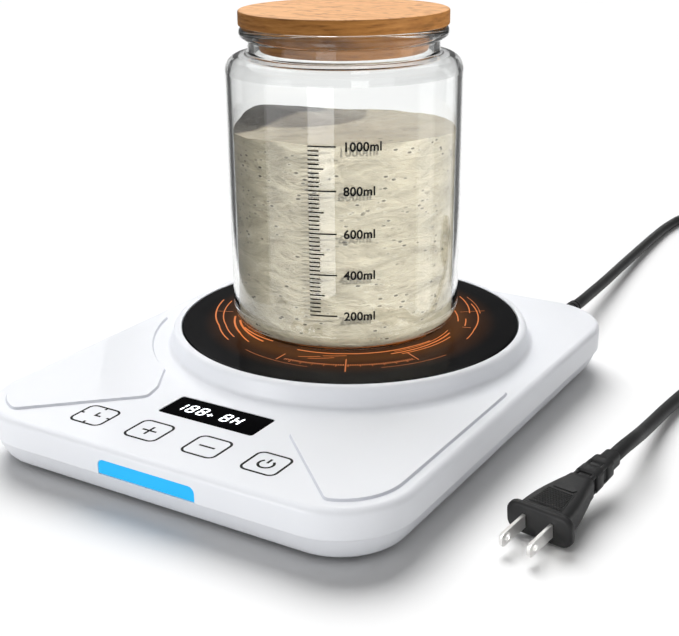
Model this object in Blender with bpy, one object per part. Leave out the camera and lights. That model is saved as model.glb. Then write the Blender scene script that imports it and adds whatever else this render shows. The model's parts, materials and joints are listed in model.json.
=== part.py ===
"""Yogurt maker: a flat heating base with a glass jar and a wooden lid.

Metres, +Z up. The origin is the middle of the base, on the surface it stands on.
The control panel faces -Y. Every object is one solid piece of the real product.
"""
import math

import bmesh
import bpy
from mathutils import Matrix, Vector

# ---- driving dimensions ----------------------------------------------------
MM = 0.001
GAP = 0.3 * MM                      # clearance between touching pieces

FOOT_H = 2.0 * MM
BASE_W = 220 * MM
BASE_L = 272 * MM
CORNER_R = 35 * MM
PARTING_Z = 13.7 * MM               # where the two casings meet
DECK_Z = 27.1 * MM                  # flat top of the base
WALL = 2.2 * MM

PLATE_Y = 32 * MM                   # centre of the heating plate
PLATE_R = 87.5 * MM
PLATE_T = 4.0 * MM
PLATE_TOP = 36.4 * MM
RING_R = 92.0 * MM                  # outside of the raised ring round the plate
LEDGE_R = 80.0 * MM                 # opening that the heater looks through
LEDGE_TOP = 31.3 * MM
LEDGE_LOW = 29.3 * MM

WINDOW = (51.5 * MM, 18.5 * MM)
WINDOW_Y = -85.5 * MM
KEY_XS = [-47 * MM, -15.7 * MM, 15.7 * MM, 47 * MM]
KEY_Y = -113 * MM
LIGHT_W = 52 * MM
LIGHT_Z = (14.4 * MM, 21.0 * MM)
WING_H = 1.2 * MM
WING_ARC_R = 102.5 * MM

SCREW_XY = (90 * MM, 116 * MM)
FOOT_XY = (76 * MM, 103 * MM)
FOOT_R = 7 * MM
LEG_R = 77 * MM                     # radius of the heater bracket's screw circle
LEG_ANGLES = [90, 210, 330]

JAR_CENTRE = (-1.9 * MM, 30.9 * MM)  # where the jar happens to stand on the plate
JAR_Z = PLATE_TOP + GAP
RIM_Z = 150.4 * MM                  # height of the jar above its own foot
LID_Z = RIM_Z + GAP
LID_T = 7.1 * MM
LID_R = 51.0 * MM
INSERT_R = 41.3 * MM
INSERT_Z = 138.4 * MM

CORD_D = 6.5 * MM
CORD_X = 74 * MM
CORD_EXIT_Z = PARTING_Z
BOOT_END_Y = 168 * MM
COIL_X = 186 * MM
COIL_Y = 268 * MM
COIL_R = 36 * MM                    # middle of the coil's turns
COIL_HALF = 6.9 * MM                # half the width of the wound bundle
COIL_LOW = 1.5 * MM
PLUG_FACE = Vector((149.9 * MM, -72.1 * MM, 8.2 * MM))
PLUG_TURN = math.radians(9)         # turned clockwise seen from above
PLUG_TILT = math.radians(6)         # its cord end is raised
PLUG_PLACE = (Matrix.Translation(PLUG_FACE) @ Matrix.Rotation(-PLUG_TURN, 4, "Z")
              @ Matrix.Rotation(PLUG_TILT, 4, "X"))
PLUG_LENGTH = 62 * MM

REAR_ROUTE = [  # free cord from the boot to the coil
    (CORD_X, BOOT_END_Y + GAP, CORD_EXIT_Z), (73.9 * MM, 180 * MM, 13.4 * MM),
    (72.3 * MM, 198 * MM, 11.9 * MM), (69.6 * MM, 232 * MM, 9.6 * MM),
    (66 * MM, 275 * MM, 7.2 * MM), (62.8 * MM, 320 * MM, 5.2 * MM),
    (60.6 * MM, 363 * MM, 4.0 * MM), (60.2 * MM, 400 * MM, 3.4 * MM),
    (64 * MM, 430 * MM, 3.4 * MM), (76 * MM, 449 * MM, 3.4 * MM),
    (97 * MM, 458 * MM, 3.4 * MM), (121 * MM, 459 * MM, 3.4 * MM),
    (140 * MM, 441 * MM, 3.4 * MM), (147 * MM, 412 * MM, 3.4 * MM),
    (148 * MM, 375 * MM, 3.5 * MM), (148 * MM, 335 * MM, 4.0 * MM),
    (148.4 * MM, 312 * MM, 4.9 * MM), (149.2 * MM, 298.5 * MM, 5.0 * MM)]
FRONT_ROUTE = [  # free cord from the coil to the plug
    (149.6 * MM, 237.5 * MM, 5.2 * MM), (152.6 * MM, 222 * MM, 4.2 * MM),
    (158 * MM, 196 * MM, 3.5 * MM), (162 * MM, 168 * MM, 3.4 * MM),
    (163.5 * MM, 140 * MM, 3.4 * MM), (162 * MM, 115 * MM, 3.4 * MM),
    (159.9 * MM, 88 * MM, 4.1 * MM), (159.2 * MM, 66 * MM, 5.6 * MM),
    (159.7 * MM, 46 * MM, 8.0 * MM), (160.6 * MM, 26 * MM, 11.2 * MM),
    (161.6 * MM, 10 * MM, 14.6 * MM), tuple(PLUG_PLACE @ Vector((0, PLUG_LENGTH + 9 * MM, 0))),
    tuple(PLUG_PLACE @ Vector((0, PLUG_LENGTH + 1.4 * GAP, 0)))]


# ---- helpers ---------------------------------------------------------------
def clear_scene():
    for item in list(bpy.data.objects):
        bpy.data.objects.remove(item, do_unlink=True)


def material(name, color, rough, metal=0.0):
    found = bpy.data.materials.get(name)
    if found:
        return found
    made = bpy.data.materials.new(name)
    made.use_nodes = True
    shader = made.node_tree.nodes["Principled BSDF"]
    shader.inputs["Base Color"].default_value = (*color, 1.0)
    shader.inputs["Roughness"].default_value = rough
    shader.inputs["Metallic"].default_value = metal
    made.diffuse_color = (*color, 1.0)
    return made


def add(name, bm, mat, smooth=True):
    """Turn a bmesh into a named object with outward faces."""
    bmesh.ops.recalc_face_normals(bm, faces=bm.faces)
    mesh = bpy.data.meshes.new(name)
    bm.to_mesh(mesh)
    bm.free()
    obj = bpy.data.objects.new(name, mesh)
    bpy.context.scene.collection.objects.link(obj)
    if mat:
        mesh.materials.append(mat)
    if smooth:
        mesh.shade_smooth()
        mesh.set_sharp_from_angle(angle=math.radians(32))
    return obj


def skin(bm, rings, closed=False):
    """Faces between equal rings of points; capped at both ends unless closed."""
    loops = [[bm.verts.new(point) for point in ring] for ring in rings]
    count = len(loops[0])
    pairs = list(zip(loops, loops[1:]))
    if closed:
        pairs.append((loops[-1], loops[0]))
    for low, high in pairs:
        for i in range(count):
            j = (i + 1) % count
            bm.faces.new((low[i], low[j], high[j], high[i]))
    if not closed:
        bm.faces.new(loops[0])
        bm.faces.new(loops[-1])


def rounded_rect(width, length, radius, z, steps=7, centre=(0, 0)):
    points = []
    for quarter, (sx, sy) in enumerate([(1, 1), (-1, 1), (-1, -1), (1, -1)]):
        cx = centre[0] + sx * (width / 2 - radius)
        cy = centre[1] + sy * (length / 2 - radius)
        for k in range(steps + 1):
            angle = math.radians(90 * (quarter + k / steps))
            points.append((cx + radius * math.cos(angle), cy + radius * math.sin(angle), z))
    return points


def base_ring(inset, z, steps=7):
    """The base's outline, pulled in by inset, at height z."""
    return rounded_rect(BASE_W - 2 * inset, BASE_L - 2 * inset, CORNER_R - inset, z, steps)


def circle(radius, z, segs, centre=(0, 0)):
    turn = 2 * math.pi / segs
    return [(centre[0] + radius * math.cos(i * turn), centre[1] + radius * math.sin(i * turn), z)
            for i in range(segs)]


def turned(name, profile, mat, centre=(0, 0), segs=48, closed=False, bm=None):
    """Revolve (radius, z) points about a vertical axis."""
    mesh = bm or bmesh.new()
    skin(mesh, [circle(r, z, segs, centre) for r, z in profile], closed)
    return None if bm else add(name, mesh, mat)


def slab(name, size, z_low, z_high, mat, radius=0.5 * MM, centre=(0, 0), steps=2, bm=None):
    """A plate with rounded corners."""
    mesh = bm or bmesh.new()
    skin(mesh, [rounded_rect(size[0], size[1], radius, z, steps, centre) for z in (z_low, z_high)])
    return None if bm else add(name, mesh, mat)


def box(name, low, high, mat, bm=None):
    mesh = bm or bmesh.new()
    made = bmesh.ops.create_cube(mesh, size=1.0)["verts"]
    for vert in made:
        vert.co = [lo + (c + 0.5) * (hi - lo) for c, lo, hi in zip(vert.co, low, high)]
    return None if bm else add(name, mesh, mat, smooth=False)


def lay_along_y(obj, x, z):
    """Turn a piece made about +Z so that its axis runs along +Y at (x, z)."""
    for vert in obj.data.vertices:
        a, b, c = vert.co
        vert.co = (x - a, c, z + b)


def tube(name, points, diameter, mat, resolution=2, spacing=None):
    """A round cord through a smooth curve that passes the route's points."""
    path = [Vector(p) for p in points]
    dense = []
    for i in range(len(path) - 1):
        before = path[max(i - 1, 0)]
        after = path[min(i + 2, len(path) - 1)]
        for k in range(12):
            dense.append(smooth_point(before, path[i], path[i + 1], after, k / 12))
    dense.append(path[-1])
    lengths = [0.0]
    for a, b in zip(dense, dense[1:]):
        lengths.append(lengths[-1] + (b - a).length)
    count = max(3, math.ceil(lengths[-1] / (spacing or 2.4 * diameter)))
    kept = []
    place = 0
    for k in range(count + 1):
        want = lengths[-1] * k / count
        while place < len(lengths) - 2 and lengths[place + 1] < want:
            place += 1
        share = (want - lengths[place]) / (lengths[place + 1] - lengths[place])
        kept.append(dense[place].lerp(dense[place + 1], min(share, 1.0)))
    curve = bpy.data.curves.new(name, "CURVE")
    curve.dimensions = "3D"
    curve.bevel_depth = diameter / 2
    curve.bevel_resolution = resolution
    curve.use_fill_caps = True
    spline = curve.splines.new("POLY")
    spline.points.add(len(kept) - 1)
    for point, co in zip(spline.points, kept):
        point.co = (*co, 1.0)
    curve.materials.append(mat)
    obj = bpy.data.objects.new(name, curve)
    bpy.context.scene.collection.objects.link(obj)
    return obj


def smooth_point(p0, p1, p2, p3, t):
    """A centripetal-like spline point between p1 and p2."""
    a = (p2 - p0) * 0.5
    b = (p3 - p1) * 0.5
    t2 = t * t
    t3 = t2 * t
    return (p1 * (2 * t3 - 3 * t2 + 1) + a * (t3 - 2 * t2 + t)
            + p2 * (3 * t2 - 2 * t3) + b * (t3 - t2))


def combine(target, tool, operation):
    """Apply one solid to another and leave the tool out of the model."""
    tool.hide_render = True
    tool.display_type = "WIRE"
    change = target.modifiers.new(tool.name, "BOOLEAN")
    change.operation = operation
    change.object = tool
    change.use_self = True


def cut(target, tool):
    combine(target, tool, "DIFFERENCE")


def join(target, tool):
    combine(target, tool, "UNION")


# ---- materials -------------------------------------------------------------
WHITE = material("white_casing", (0.86, 0.87, 0.89), 0.35)
GLASS_BLACK = material("black_glass", (0.02, 0.02, 0.022), 0.08)
SILICONE = material("silicone", (0.75, 0.75, 0.74), 0.6)
RUBBER = material("dark_rubber", (0.06, 0.06, 0.06), 0.8)
ALU = material("aluminium", (0.78, 0.79, 0.8), 0.35, 1.0)
STEEL = material("steel", (0.6, 0.61, 0.62), 0.35, 1.0)
BRASS = material("nickelled_brass", (0.78, 0.74, 0.65), 0.25, 1.0)
FILM = material("heating_film", (0.55, 0.3, 0.12), 0.5)
FELT = material("insulation", (0.85, 0.84, 0.8), 0.95)
BOARD = material("circuit_board", (0.05, 0.28, 0.12), 0.5)
CHIP = material("black_component", (0.03, 0.03, 0.03), 0.5)
YELLOW = material("transformer_tape", (0.8, 0.6, 0.1), 0.5)
BLUE = material("blue_lens", (0.03, 0.5, 1.0), 0.3)
SMOKE = material("window", (0.01, 0.01, 0.01), 0.1)
LAMP = material("led_white", (0.9, 0.9, 0.85), 0.4)
GLASS = material("clear_glass", (0.85, 0.9, 0.9), 0.03)
BAMBOO = material("bamboo", (0.62, 0.36, 0.15), 0.5)
CORD = material("black_cord", (0.02, 0.02, 0.02), 0.5)
RED = material("red_wire", (0.5, 0.03, 0.03), 0.5)


# ---- casings ---------------------------------------------------------------
def wing_outline(side, z):
    """Raised field beside the ring; side is +1 on the right, -1 on the left."""
    edge = BASE_W / 2 - 6 * MM
    front = BASE_L / 2 - 7 * MM
    corner = CORNER_R - 6.5 * MM
    points = []
    for k in range(6):      # concave stretch that follows the ring
        angle = math.radians(-17 - k * 8.4)
        points.append((WING_ARC_R * math.cos(angle), PLATE_Y + WING_ARC_R * math.sin(angle)))
    points += [(46 * MM, -74 * MM), (40.5 * MM, -83.5 * MM), (42.5 * MM, -88.5 * MM)]
    points += [(76 * MM, -121 * MM), (80 * MM, -124.4 * MM)]
    for k in range(5):      # outer corner, beside the base's own
        angle = math.radians(-68 + k * 17)
        points.append((edge - corner + corner * math.cos(angle),
                       -front + corner + corner * math.sin(angle)))
    points += [(edge, -2 * MM), (101.5 * MM, 3.5 * MM)]
    return [(side * x, y, z) for x, y in points]


def make_top_cover():
    bm = bmesh.new()
    profile = [(0, PARTING_Z), (0, 21.6 * MM), (0.5 * MM, 24.1 * MM), (1.7 * MM, 26.0 * MM),
               (3.4 * MM, 26.9 * MM), (5.0 * MM, DECK_Z)]
    skin(bm, [base_ring(inset, z) for inset, z in profile])
    cover = add("top_cover", bm, WHITE)

    ring = [(RING_R + 1.6 * MM, 26.3 * MM), (RING_R + 1.3 * MM, DECK_Z + 0.1 * MM),
            (RING_R, DECK_Z + 1.5 * MM), (RING_R - 0.6 * MM, 34.9 * MM),
            (RING_R - 1.5 * MM, 36.2 * MM), (RING_R - 2.8 * MM, PLATE_TOP), (PLATE_R, PLATE_TOP)]
    join(cover, turned("plate_ring", ring, WHITE, (0, PLATE_Y), 56))
    for side in (-1, 1):
        bm = bmesh.new()
        skin(bm, [wing_outline(side, z) for z in (DECK_Z - 1.0 * MM, DECK_Z + WING_H)])
        join(cover, add("wing_%s" % ("right" if side > 0 else "left"), bm, WHITE))

    bm = bmesh.new()
    skin(bm, [base_ring(WALL, PARTING_Z - 2 * MM), base_ring(WALL, 22.4 * MM),
              base_ring(WALL + 2.0 * MM, DECK_Z - WALL)])
    cut(cover, add("cover_cavity", bm, WHITE))
    stack = [(RING_R - 3 * MM, 12 * MM), (RING_R - 3 * MM, LEDGE_LOW), (LEDGE_R, LEDGE_LOW + 0.01 * MM),
             (LEDGE_R, LEDGE_TOP), (PLATE_R + GAP, LEDGE_TOP + 0.01 * MM), (PLATE_R + GAP, 40 * MM)]
    cut(cover, turned("plate_bore", stack, WHITE, (0, PLATE_Y), 56))

    bm = bmesh.new()
    for sx in (-1, 1):
        for sy in (-1, 1):
            turned("", [(4 * MM, 8.3 * MM), (4 * MM, DECK_Z - 1 * MM)], WHITE,
                   (sx * SCREW_XY[0], sy * SCREW_XY[1]), 12, bm=bm)
    join(cover, add("screw_posts", bm, WHITE))
    bm = bmesh.new()
    for sx in (-1, 1):
        for sy in (-1, 1):
            turned("", [(1.8 * MM, 5 * MM), (1.8 * MM, 20 * MM)], WHITE,
                   (sx * SCREW_XY[0], sy * SCREW_XY[1]), 10, bm=bm)
    slab("", WINDOW, 20 * MM, 30 * MM, WHITE, 2 * MM, (0, WINDOW_Y), 3, bm=bm)
    box("", (-LIGHT_W / 2, -BASE_L / 2 - 2 * MM, LIGHT_Z[0]),
        (LIGHT_W / 2, -BASE_L / 2 + 5 * MM, LIGHT_Z[1]), WHITE, bm=bm)
    cut(cover, add("cover_openings", bm, WHITE))
    cut(cover, cord_hole("cover_cord_hole"))
    return cover


def cord_hole(name):
    hole = turned(name, [(4.3 * MM, 125 * MM), (4.3 * MM, 140 * MM)], WHITE, (0, 0), 16)
    lay_along_y(hole, CORD_X, CORD_EXIT_Z)
    return hole


def post_places():
    """Bosses that stand on the lower casing: (x, y, radius, top, bore radius)."""
    posts = []
    for sx in (-1, 1):
        for sy in (-1, 1):
            posts.append((sx * SCREW_XY[0], sy * SCREW_XY[1], 6 * MM, 8.0 * MM, 0))
    for angle in LEG_ANGLES:
        x, y = leg_point(angle, LEG_R)
        posts.append((x, y, 4.5 * MM, 7.7 * MM, 1.65 * MM))
    for x, y in board_posts((-52, 86), 23, 27):
        posts.append((x, y, 3 * MM, 7.7 * MM, 0))
    for x, y in board_posts((0, -98), 62, 20):
        posts.append((x, y, 3 * MM, 15.7 * MM, 0))
    for side in (-1, 1):
        posts.append((CORD_X + side * 8.5 * MM, 118 * MM, 3 * MM, 16.9 * MM, 1.5 * MM))
    return posts


def board_posts(centre_mm, half_x, half_y):
    return [((centre_mm[0] + sx * half_x) * MM, (centre_mm[1] + sy * half_y) * MM)
            for sx in (-1, 1) for sy in (-1, 1)]


def leg_point(angle, radius):
    a = math.radians(angle)
    return radius * math.cos(a), PLATE_Y + radius * math.sin(a)


def make_bottom_cover():
    top = PARTING_Z - GAP
    outside = [(9.5, 2.0), (6.6, 2.6), (4.9, 3.9), (3.4, 6.5), (1.9, 10.0), (0.8, None)]
    inside = [(3.0, None), (3.9, 10.0), (5.4, 7.0), (8.6, 4.4)]
    bm = bmesh.new()
    skin(bm, [base_ring(inset * MM, top if z is None else z * MM) for inset, z in outside + inside])
    cover = add("bottom_cover", bm, WHITE)

    bm = bmesh.new()
    for x, y, radius, high, _ in post_places():
        turned("", [(radius, 3.4 * MM), (radius, high)], WHITE, (x, y), 12, bm=bm)
    join(cover, add("floor_posts", bm, WHITE))

    bm = bmesh.new()
    for x, y, _, high, bore in post_places():
        if bore:
            turned("", [(bore, high - 3.2 * MM), (bore, high + 1 * MM)], WHITE, (x, y), 10, bm=bm)
    for sx in (-1, 1):
        for sy in (-1, 1):
            screw = (sx * SCREW_XY[0], sy * SCREW_XY[1])
            turned("", [(3.4 * MM, 0), (3.4 * MM, 5 * MM), (1.8 * MM, 5.01 * MM), (1.8 * MM, 10 * MM)],
                   WHITE, screw, 14, bm=bm)
            turned("", [(FOOT_R + GAP, 0), (FOOT_R + GAP, FOOT_H + 0.8 * MM)], WHITE,
                   (sx * FOOT_XY[0], sy * FOOT_XY[1]), 20, bm=bm)
    for side in (-1, 1):
        for k in range(5):
            slab("", (34 * MM, 2.6 * MM), 0, 7 * MM, WHITE, 1.2 * MM,
                 (side * 40 * MM, (14 + 9 * k) * MM), 2, bm=bm)
    cut(cover, add("floor_openings", bm, WHITE))
    cut(cover, cord_hole("floor_cord_hole"))
    return cover


def make_feet_and_screws():
    for i, (sx, sy) in enumerate([(-1, -1), (1, -1), (1, 1), (-1, 1)], start=1):
        turned("foot_%d" % i, [(FOOT_R - 0.7 * MM, 0), (FOOT_R, 0.6 * MM), (FOOT_R, FOOT_H + 0.5 * MM)],
               RUBBER, (sx * FOOT_XY[0], sy * FOOT_XY[1]), 20)
        turned("case_screw_%d" % i,
               [(2.2 * MM, 2.4 * MM), (3.0 * MM, 3.0 * MM), (3.0 * MM, 4.7 * MM), (1.4 * MM, 4.71 * MM),
                (1.4 * MM, 17 * MM), (0.5 * MM, 18.4 * MM)],
               STEEL, (sx * SCREW_XY[0], sy * SCREW_XY[1]), 12)


# ---- heating plate stack ---------------------------------------------------
def make_heater():
    centre = (0, PLATE_Y)
    low = PLATE_TOP - PLATE_T
    turned("glass_plate", [(PLATE_R - 0.4 * MM, low), (PLATE_R, low + 0.4 * MM), (PLATE_R, 35.6 * MM),
                           (PLATE_R - 0.3 * MM, 36.15 * MM), (PLATE_R - 1 * MM, PLATE_TOP)],
           GLASS_BLACK, centre, 56)
    rings = [("plate_seal", 80.6, 87.2, 31.6, 32.1, SILICONE), ("heating_film", 9, 72, 29.9, 30.4, FILM),
             ("insulation_pad", 9, 74, 26.7, 29.6, FELT)]
    for name, inner, outer, z0, z1, mat in rings:
        turned(name, [(inner * MM, z0 * MM), (outer * MM, z0 * MM), (outer * MM, z1 * MM),
                      (inner * MM, z1 * MM)], mat, centre, 40, closed=True)
    turned("heat_spreader", [(76 * MM, 30.7 * MM), (76 * MM, 32.1 * MM)], ALU, centre, 40)

    plate = [(9, 25.2), (77, 25.2), (77, 26.4), (9, 26.4)]
    bracket = turned("heater_bracket", [(r * MM, z * MM) for r, z in plate], STEEL, centre, 40, closed=True)
    bm = bmesh.new()
    for angle in LEG_ANGLES:
        place_leg(bm, angle)
    join(bracket, add("bracket_legs", bm, STEEL))
    bm = bmesh.new()
    for angle in LEG_ANGLES:
        turned("", [(1.7 * MM, 6 * MM), (1.7 * MM, 11 * MM)], STEEL, leg_point(angle, LEG_R), 10, bm=bm)
    cut(bracket, add("bracket_holes", bm, STEEL))

    for i, angle in enumerate(LEG_ANGLES, start=1):
        turned("bracket_screw_%d" % i,
               [(0.6 * MM, 5.0 * MM), (1.3 * MM, 5.6 * MM), (1.3 * MM, 9.49 * MM), (2.8 * MM, 9.5 * MM),
                (2.8 * MM, 10.6 * MM), (1.8 * MM, 11.2 * MM)], STEEL, leg_point(angle, LEG_R), 12)
    turned("temperature_sensor", [(3.0 * MM, 22 * MM), (3.0 * MM, 27 * MM), (4.5 * MM, 27.6 * MM),
                                  (4.5 * MM, 30.4 * MM)], ALU, centre, 16)
    fuse = turned("thermal_fuse", [(0.9 * MM, -9 * MM), (1.9 * MM, -6 * MM), (1.9 * MM, 6 * MM),
                                   (0.9 * MM, 9 * MM)], BRASS, (0, 0), 12)
    lay_along_y(fuse, 26 * MM, 22.8 * MM)
    for vert in fuse.data.vertices:
        vert.co.y += PLATE_Y


def place_leg(bm, angle):
    """A bent strip: down from the bracket, then out to its screw."""
    outline = [(69.6, 25.6), (69.6, 8.0), (83.0, 8.0), (83.0, 9.2), (70.8, 9.2), (70.8, 25.6)]
    a = math.radians(angle)
    along = Vector((math.cos(a), math.sin(a), 0))
    across = Vector((-math.sin(a), math.cos(a), 0)) * 6 * MM
    centre = Vector((0, PLATE_Y, 0))
    rings = []
    for side in (-1, 1):
        rings.append([centre + along * r * MM + across * side + Vector((0, 0, z * MM)) for r, z in outline])
    skin(bm, rings)


# ---- electronics -----------------------------------------------------------
def make_electronics():
    slab("control_board", (144 * MM, 51 * MM), 16 * MM, 17.6 * MM, BOARD, 2 * MM, (0, -98.5 * MM))
    slab("display_module", (48 * MM, 16 * MM), 17.9 * MM, 23.0 * MM, CHIP, 0.8 * MM, (0, WINDOW_Y))
    slab("control_chip", (12 * MM, 12 * MM), 17.9 * MM, 19.2 * MM, CHIP, 0.4 * MM, (46 * MM, -88 * MM))
    turned("buzzer", [(4.5 * MM, 17.9 * MM), (4.5 * MM, 22.4 * MM), (3.8 * MM, 23 * MM)], CHIP,
           (-46 * MM, -88 * MM), 16)
    for i, x in enumerate(KEY_XS, start=1):
        make_touch_spring("touch_spring_%d" % i, x)

    slab("power_board", (60 * MM, 64 * MM), 8 * MM, 9.6 * MM, BOARD, 1 * MM, (-52 * MM, 84 * MM))
    parts = [("transformer", (20, 17), 9.9, 22.9, YELLOW, (-66, 98)),
             ("relay", (19, 15), 9.9, 21.9, CHIP, (-40, 102)),
             ("terminal_block", (16, 8), 9.9, 18.4, BOARD, (-33, 60))]
    for name, size, z0, z1, mat, (x, y) in parts:
        slab(name, (size[0] * MM, size[1] * MM), z0 * MM, z1 * MM, mat, 0.8 * MM, (x * MM, y * MM))
    turned("smoothing_capacitor", [(4.6 * MM, 9.9 * MM), (5 * MM, 10.4 * MM), (5 * MM, 21 * MM),
                                   (4.4 * MM, 21.6 * MM)], CHIP, (-66 * MM, 77 * MM), 16)


def make_touch_spring(name, x):
    turns = 3
    per_turn = 9
    sides = 5
    rings = []
    for i in range(turns * per_turn + 1):
        a = 2 * math.pi * i / per_turn
        rise = 18.4 * MM + (24.1 - 18.4) * MM * i / (turns * per_turn)
        out = Vector((math.cos(a), math.sin(a), 0))
        middle = Vector((x, KEY_Y, rise)) + out * 3.6 * MM
        rings.append([middle + (out * math.cos(b) + Vector((0, 0, 1)) * math.sin(b)) * 0.4 * MM
                      for b in [2 * math.pi * k / sides for k in range(sides)]])
    bm = bmesh.new()
    skin(bm, rings)
    return add(name, bm, STEEL)


def make_panel_lights():
    window = slab("display_window", (WINDOW[0] + 3 * MM, WINDOW[1] + 3 * MM), 23.3 * MM, 24.6 * MM,
                  SMOKE, 2 * MM, (0, WINDOW_Y), 3)
    lens = slab("window_lens", (WINDOW[0] - 2 * GAP, WINDOW[1] - 2 * GAP), 24 * MM, DECK_Z - 0.1 * MM,
                SMOKE, 1.8 * MM, (0, WINDOW_Y), 3)
    join(window, lens)

    front = -BASE_L / 2
    bar = box("light_bar", (-LIGHT_W / 2 + GAP, front + 0.1 * MM, LIGHT_Z[0] + GAP),
              (LIGHT_W / 2 - GAP, front + 3.2 * MM, LIGHT_Z[1] - GAP), BLUE)
    flange = box("light_bar_flange", (-LIGHT_W / 2 - 2 * MM, front + 2.5 * MM, 14.2 * MM),
                 (LIGHT_W / 2 + 2 * MM, front + 3.7 * MM, 22.3 * MM), BLUE)
    join(bar, flange)
    box("light_board", (-26 * MM, front + 6.2 * MM, 14.4 * MM), (26 * MM, front + 7.2 * MM, 22 * MM), BOARD)
    for i, x in enumerate([-13, 13], start=1):
        box("light_led_%d" % i, ((x - 2) * MM, front + 4.4 * MM, 16 * MM),
            ((x + 2) * MM, front + 5.9 * MM, 19.5 * MM), LAMP)


# ---- leads, cord and plug --------------------------------------------------
def make_inner_leads():
    z = 11.5
    live = [(72.4, 111.2, 13.5), (70, 104, 12.4), (56, 88, z), (30, 74, z), (0, 63, z), (-24.6, 60, 12)]
    neutral = [(76, 111.2, 13.5), (75, 100, 12.4), (60, 80, z), (32, 66, z), (2, 57, z), (-24.6, 56.6, 12)]
    warm_a = [(-35, 55.6, 13), (-33, 50, 14), (-22, 42, 17), (-9, 35, 22), (-7, 33, 26), (-7, 32, 29.5)]
    warm_b = [(-30, 55.6, 13), (-26, 50, 14), (-12, 44, 17), (-1, 41.5, 22), (0, 39.4, 26), (0, 39, 29.5)]
    sense = [(0, 32, 21.2), (0, 29.5, 18.6), (4, 14, 15), (12, -14, 14), (18, -44, 14.4), (20, -66, 18.4),
             (20, -72.6, 19.4), (20, -75, 19)]
    leads = [("live_lead", live, CORD, 2.4), ("neutral_lead", neutral, FELT, 2.4),
             ("heater_lead_1", warm_a, RED, 1.6), ("heater_lead_2", warm_b, RED, 1.6),
             ("sensor_lead", sense, FELT, 1.4)]
    for name, route, mat, size in leads:
        tube(name, [(x * MM, y * MM, h * MM) for x, y, h in route], size * MM, mat, 1, 7 * MM)


def make_cord_entry():
    sheath = turned("cord_tail", [(CORD_D / 2, 112 * MM), (CORD_D / 2, 128.2 * MM)], CORD, (0, 0), 12)
    lay_along_y(sheath, CORD_X, CORD_EXIT_Z)
    boot = [(4.6, 128.5), (4.6, 131.2), (4.0, 131.4), (4.0, 136.4), (6.3, 136.5), (6.3, 138.2), (5.3, 138.6),
            (5.2, 144), (4.5, 144.4), (4.5, 146), (5.0, 146.4), (4.9, 151), (4.3, 151.4), (4.3, 153),
            (4.7, 153.4), (4.5, 158), (4.0, 158.4), (4.0, 160), (4.3, 160.4), (4.0, 167.4), (3.7, 168)]
    relief = turned("strain_relief", [(r * MM, y * MM) for r, y in boot], CORD, (0, 0), 14)
    lay_along_y(relief, CORD_X, CORD_EXIT_Z)

    bar = box("cord_clamp", (CORD_X - 12 * MM, 114.5 * MM, 17.25 * MM),
              (CORD_X + 12 * MM, 121.5 * MM, 20 * MM), WHITE)
    bm = bmesh.new()
    for side in (-1, 1):
        turned("", [(1.6 * MM, 15 * MM), (1.6 * MM, 22 * MM)], WHITE,
               (CORD_X + side * 8.5 * MM, 118 * MM), 10, bm=bm)
    cut(bar, add("clamp_holes", bm, WHITE))
    for i, side in enumerate((-1, 1), start=1):
        turned("clamp_screw_%d" % i, [(1.1 * MM, 14.2 * MM), (1.1 * MM, 20.29 * MM), (2.3 * MM, 20.3 * MM),
                                      (2.3 * MM, 21.4 * MM), (1.6 * MM, 21.8 * MM)],
               STEEL, (CORD_X + side * 8.5 * MM, 118 * MM), 10)


def make_cord():
    tube("cord_run_rear", REAR_ROUTE, CORD_D, CORD)
    tube("cord_run_front", FRONT_ROUTE, CORD_D, CORD)
    turn = 0.29 * COIL_HALF
    low = COIL_LOW
    high = COIL_LOW + 2 * COIL_HALF
    near = COIL_R - COIL_HALF
    far = COIL_R + COIL_HALF
    section = [(near + turn, low), (far - turn, low), (far, low + turn), (far, high - turn),
               (far - turn, high), (near + turn, high), (near, high - turn), (near, low + turn)]
    turned("cord_coil", section, CORD, (COIL_X, COIL_Y), 40, closed=True)

    bm = bmesh.new()
    inner = COIL_HALF + 2 * GAP
    outer = inner + 0.8 * MM
    rings = []
    for half, y in [(outer, -3 * MM), (outer, 3 * MM), (inner, 3 * MM), (inner, -3 * MM)]:
        outline = rounded_rect(2 * half, 2 * half, half - 4.9 * MM, 0, 3)
        rings.append([(COIL_X + COIL_R + px, COIL_Y + y, COIL_LOW + COIL_HALF + py) for px, py, _ in outline])
    skin(bm, rings, closed=True)
    add("cord_tie", bm, RUBBER)


def on_plug(x, y, z):
    """A point given in the plug's own frame: its face at y = 0, its cord end at +y."""
    return tuple(PLUG_PLACE @ Vector((x, y, z)))


def make_plug():
    rows = [(0, 14.2, 6.2, 4.5), (0.6, 15.2, 7.2, 5), (3.2, 15.2, 7.2, 5), (3.8, 14, 6.4, 4.5),
            (4.3, 11.6, 6.3, 3.2), (14, 10.6, 6.4, 3.2), (24, 8.4, 6.2, 3.2), (31, 6.6, 5.8, 3.1),
            (35, 6.0, 5.6, 3.0), (35.4, 4.4, 4.4, 2.6), (38.4, 4.4, 4.4, 2.6), (38.8, 5.6, 5.5, 2.9),
            (44.6, 5.4, 5.3, 2.9), (45, 4.2, 4.2, 2.5), (48, 4.2, 4.2, 2.5), (48.4, 5.2, 5.2, 2.8),
            (54, 4.9, 4.9, 2.7), (54.4, 3.9, 3.9, 2.4), (62, 3.8, 3.8, 2.4)]
    rings = []
    for y, half_x, half_z, radius in rows:
        outline = rounded_rect(2 * half_x * MM, 2 * half_z * MM, radius * MM, 0, 3)
        rings.append([on_plug(x, y * MM, z) for x, z, _ in outline])
    bm = bmesh.new()
    skin(bm, rings)
    add("plug_body", bm, CORD)
    for i, side in enumerate((-1, 1), start=1):
        make_blade("plug_blade_%d" % i, side * 6.35 * MM)


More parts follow.
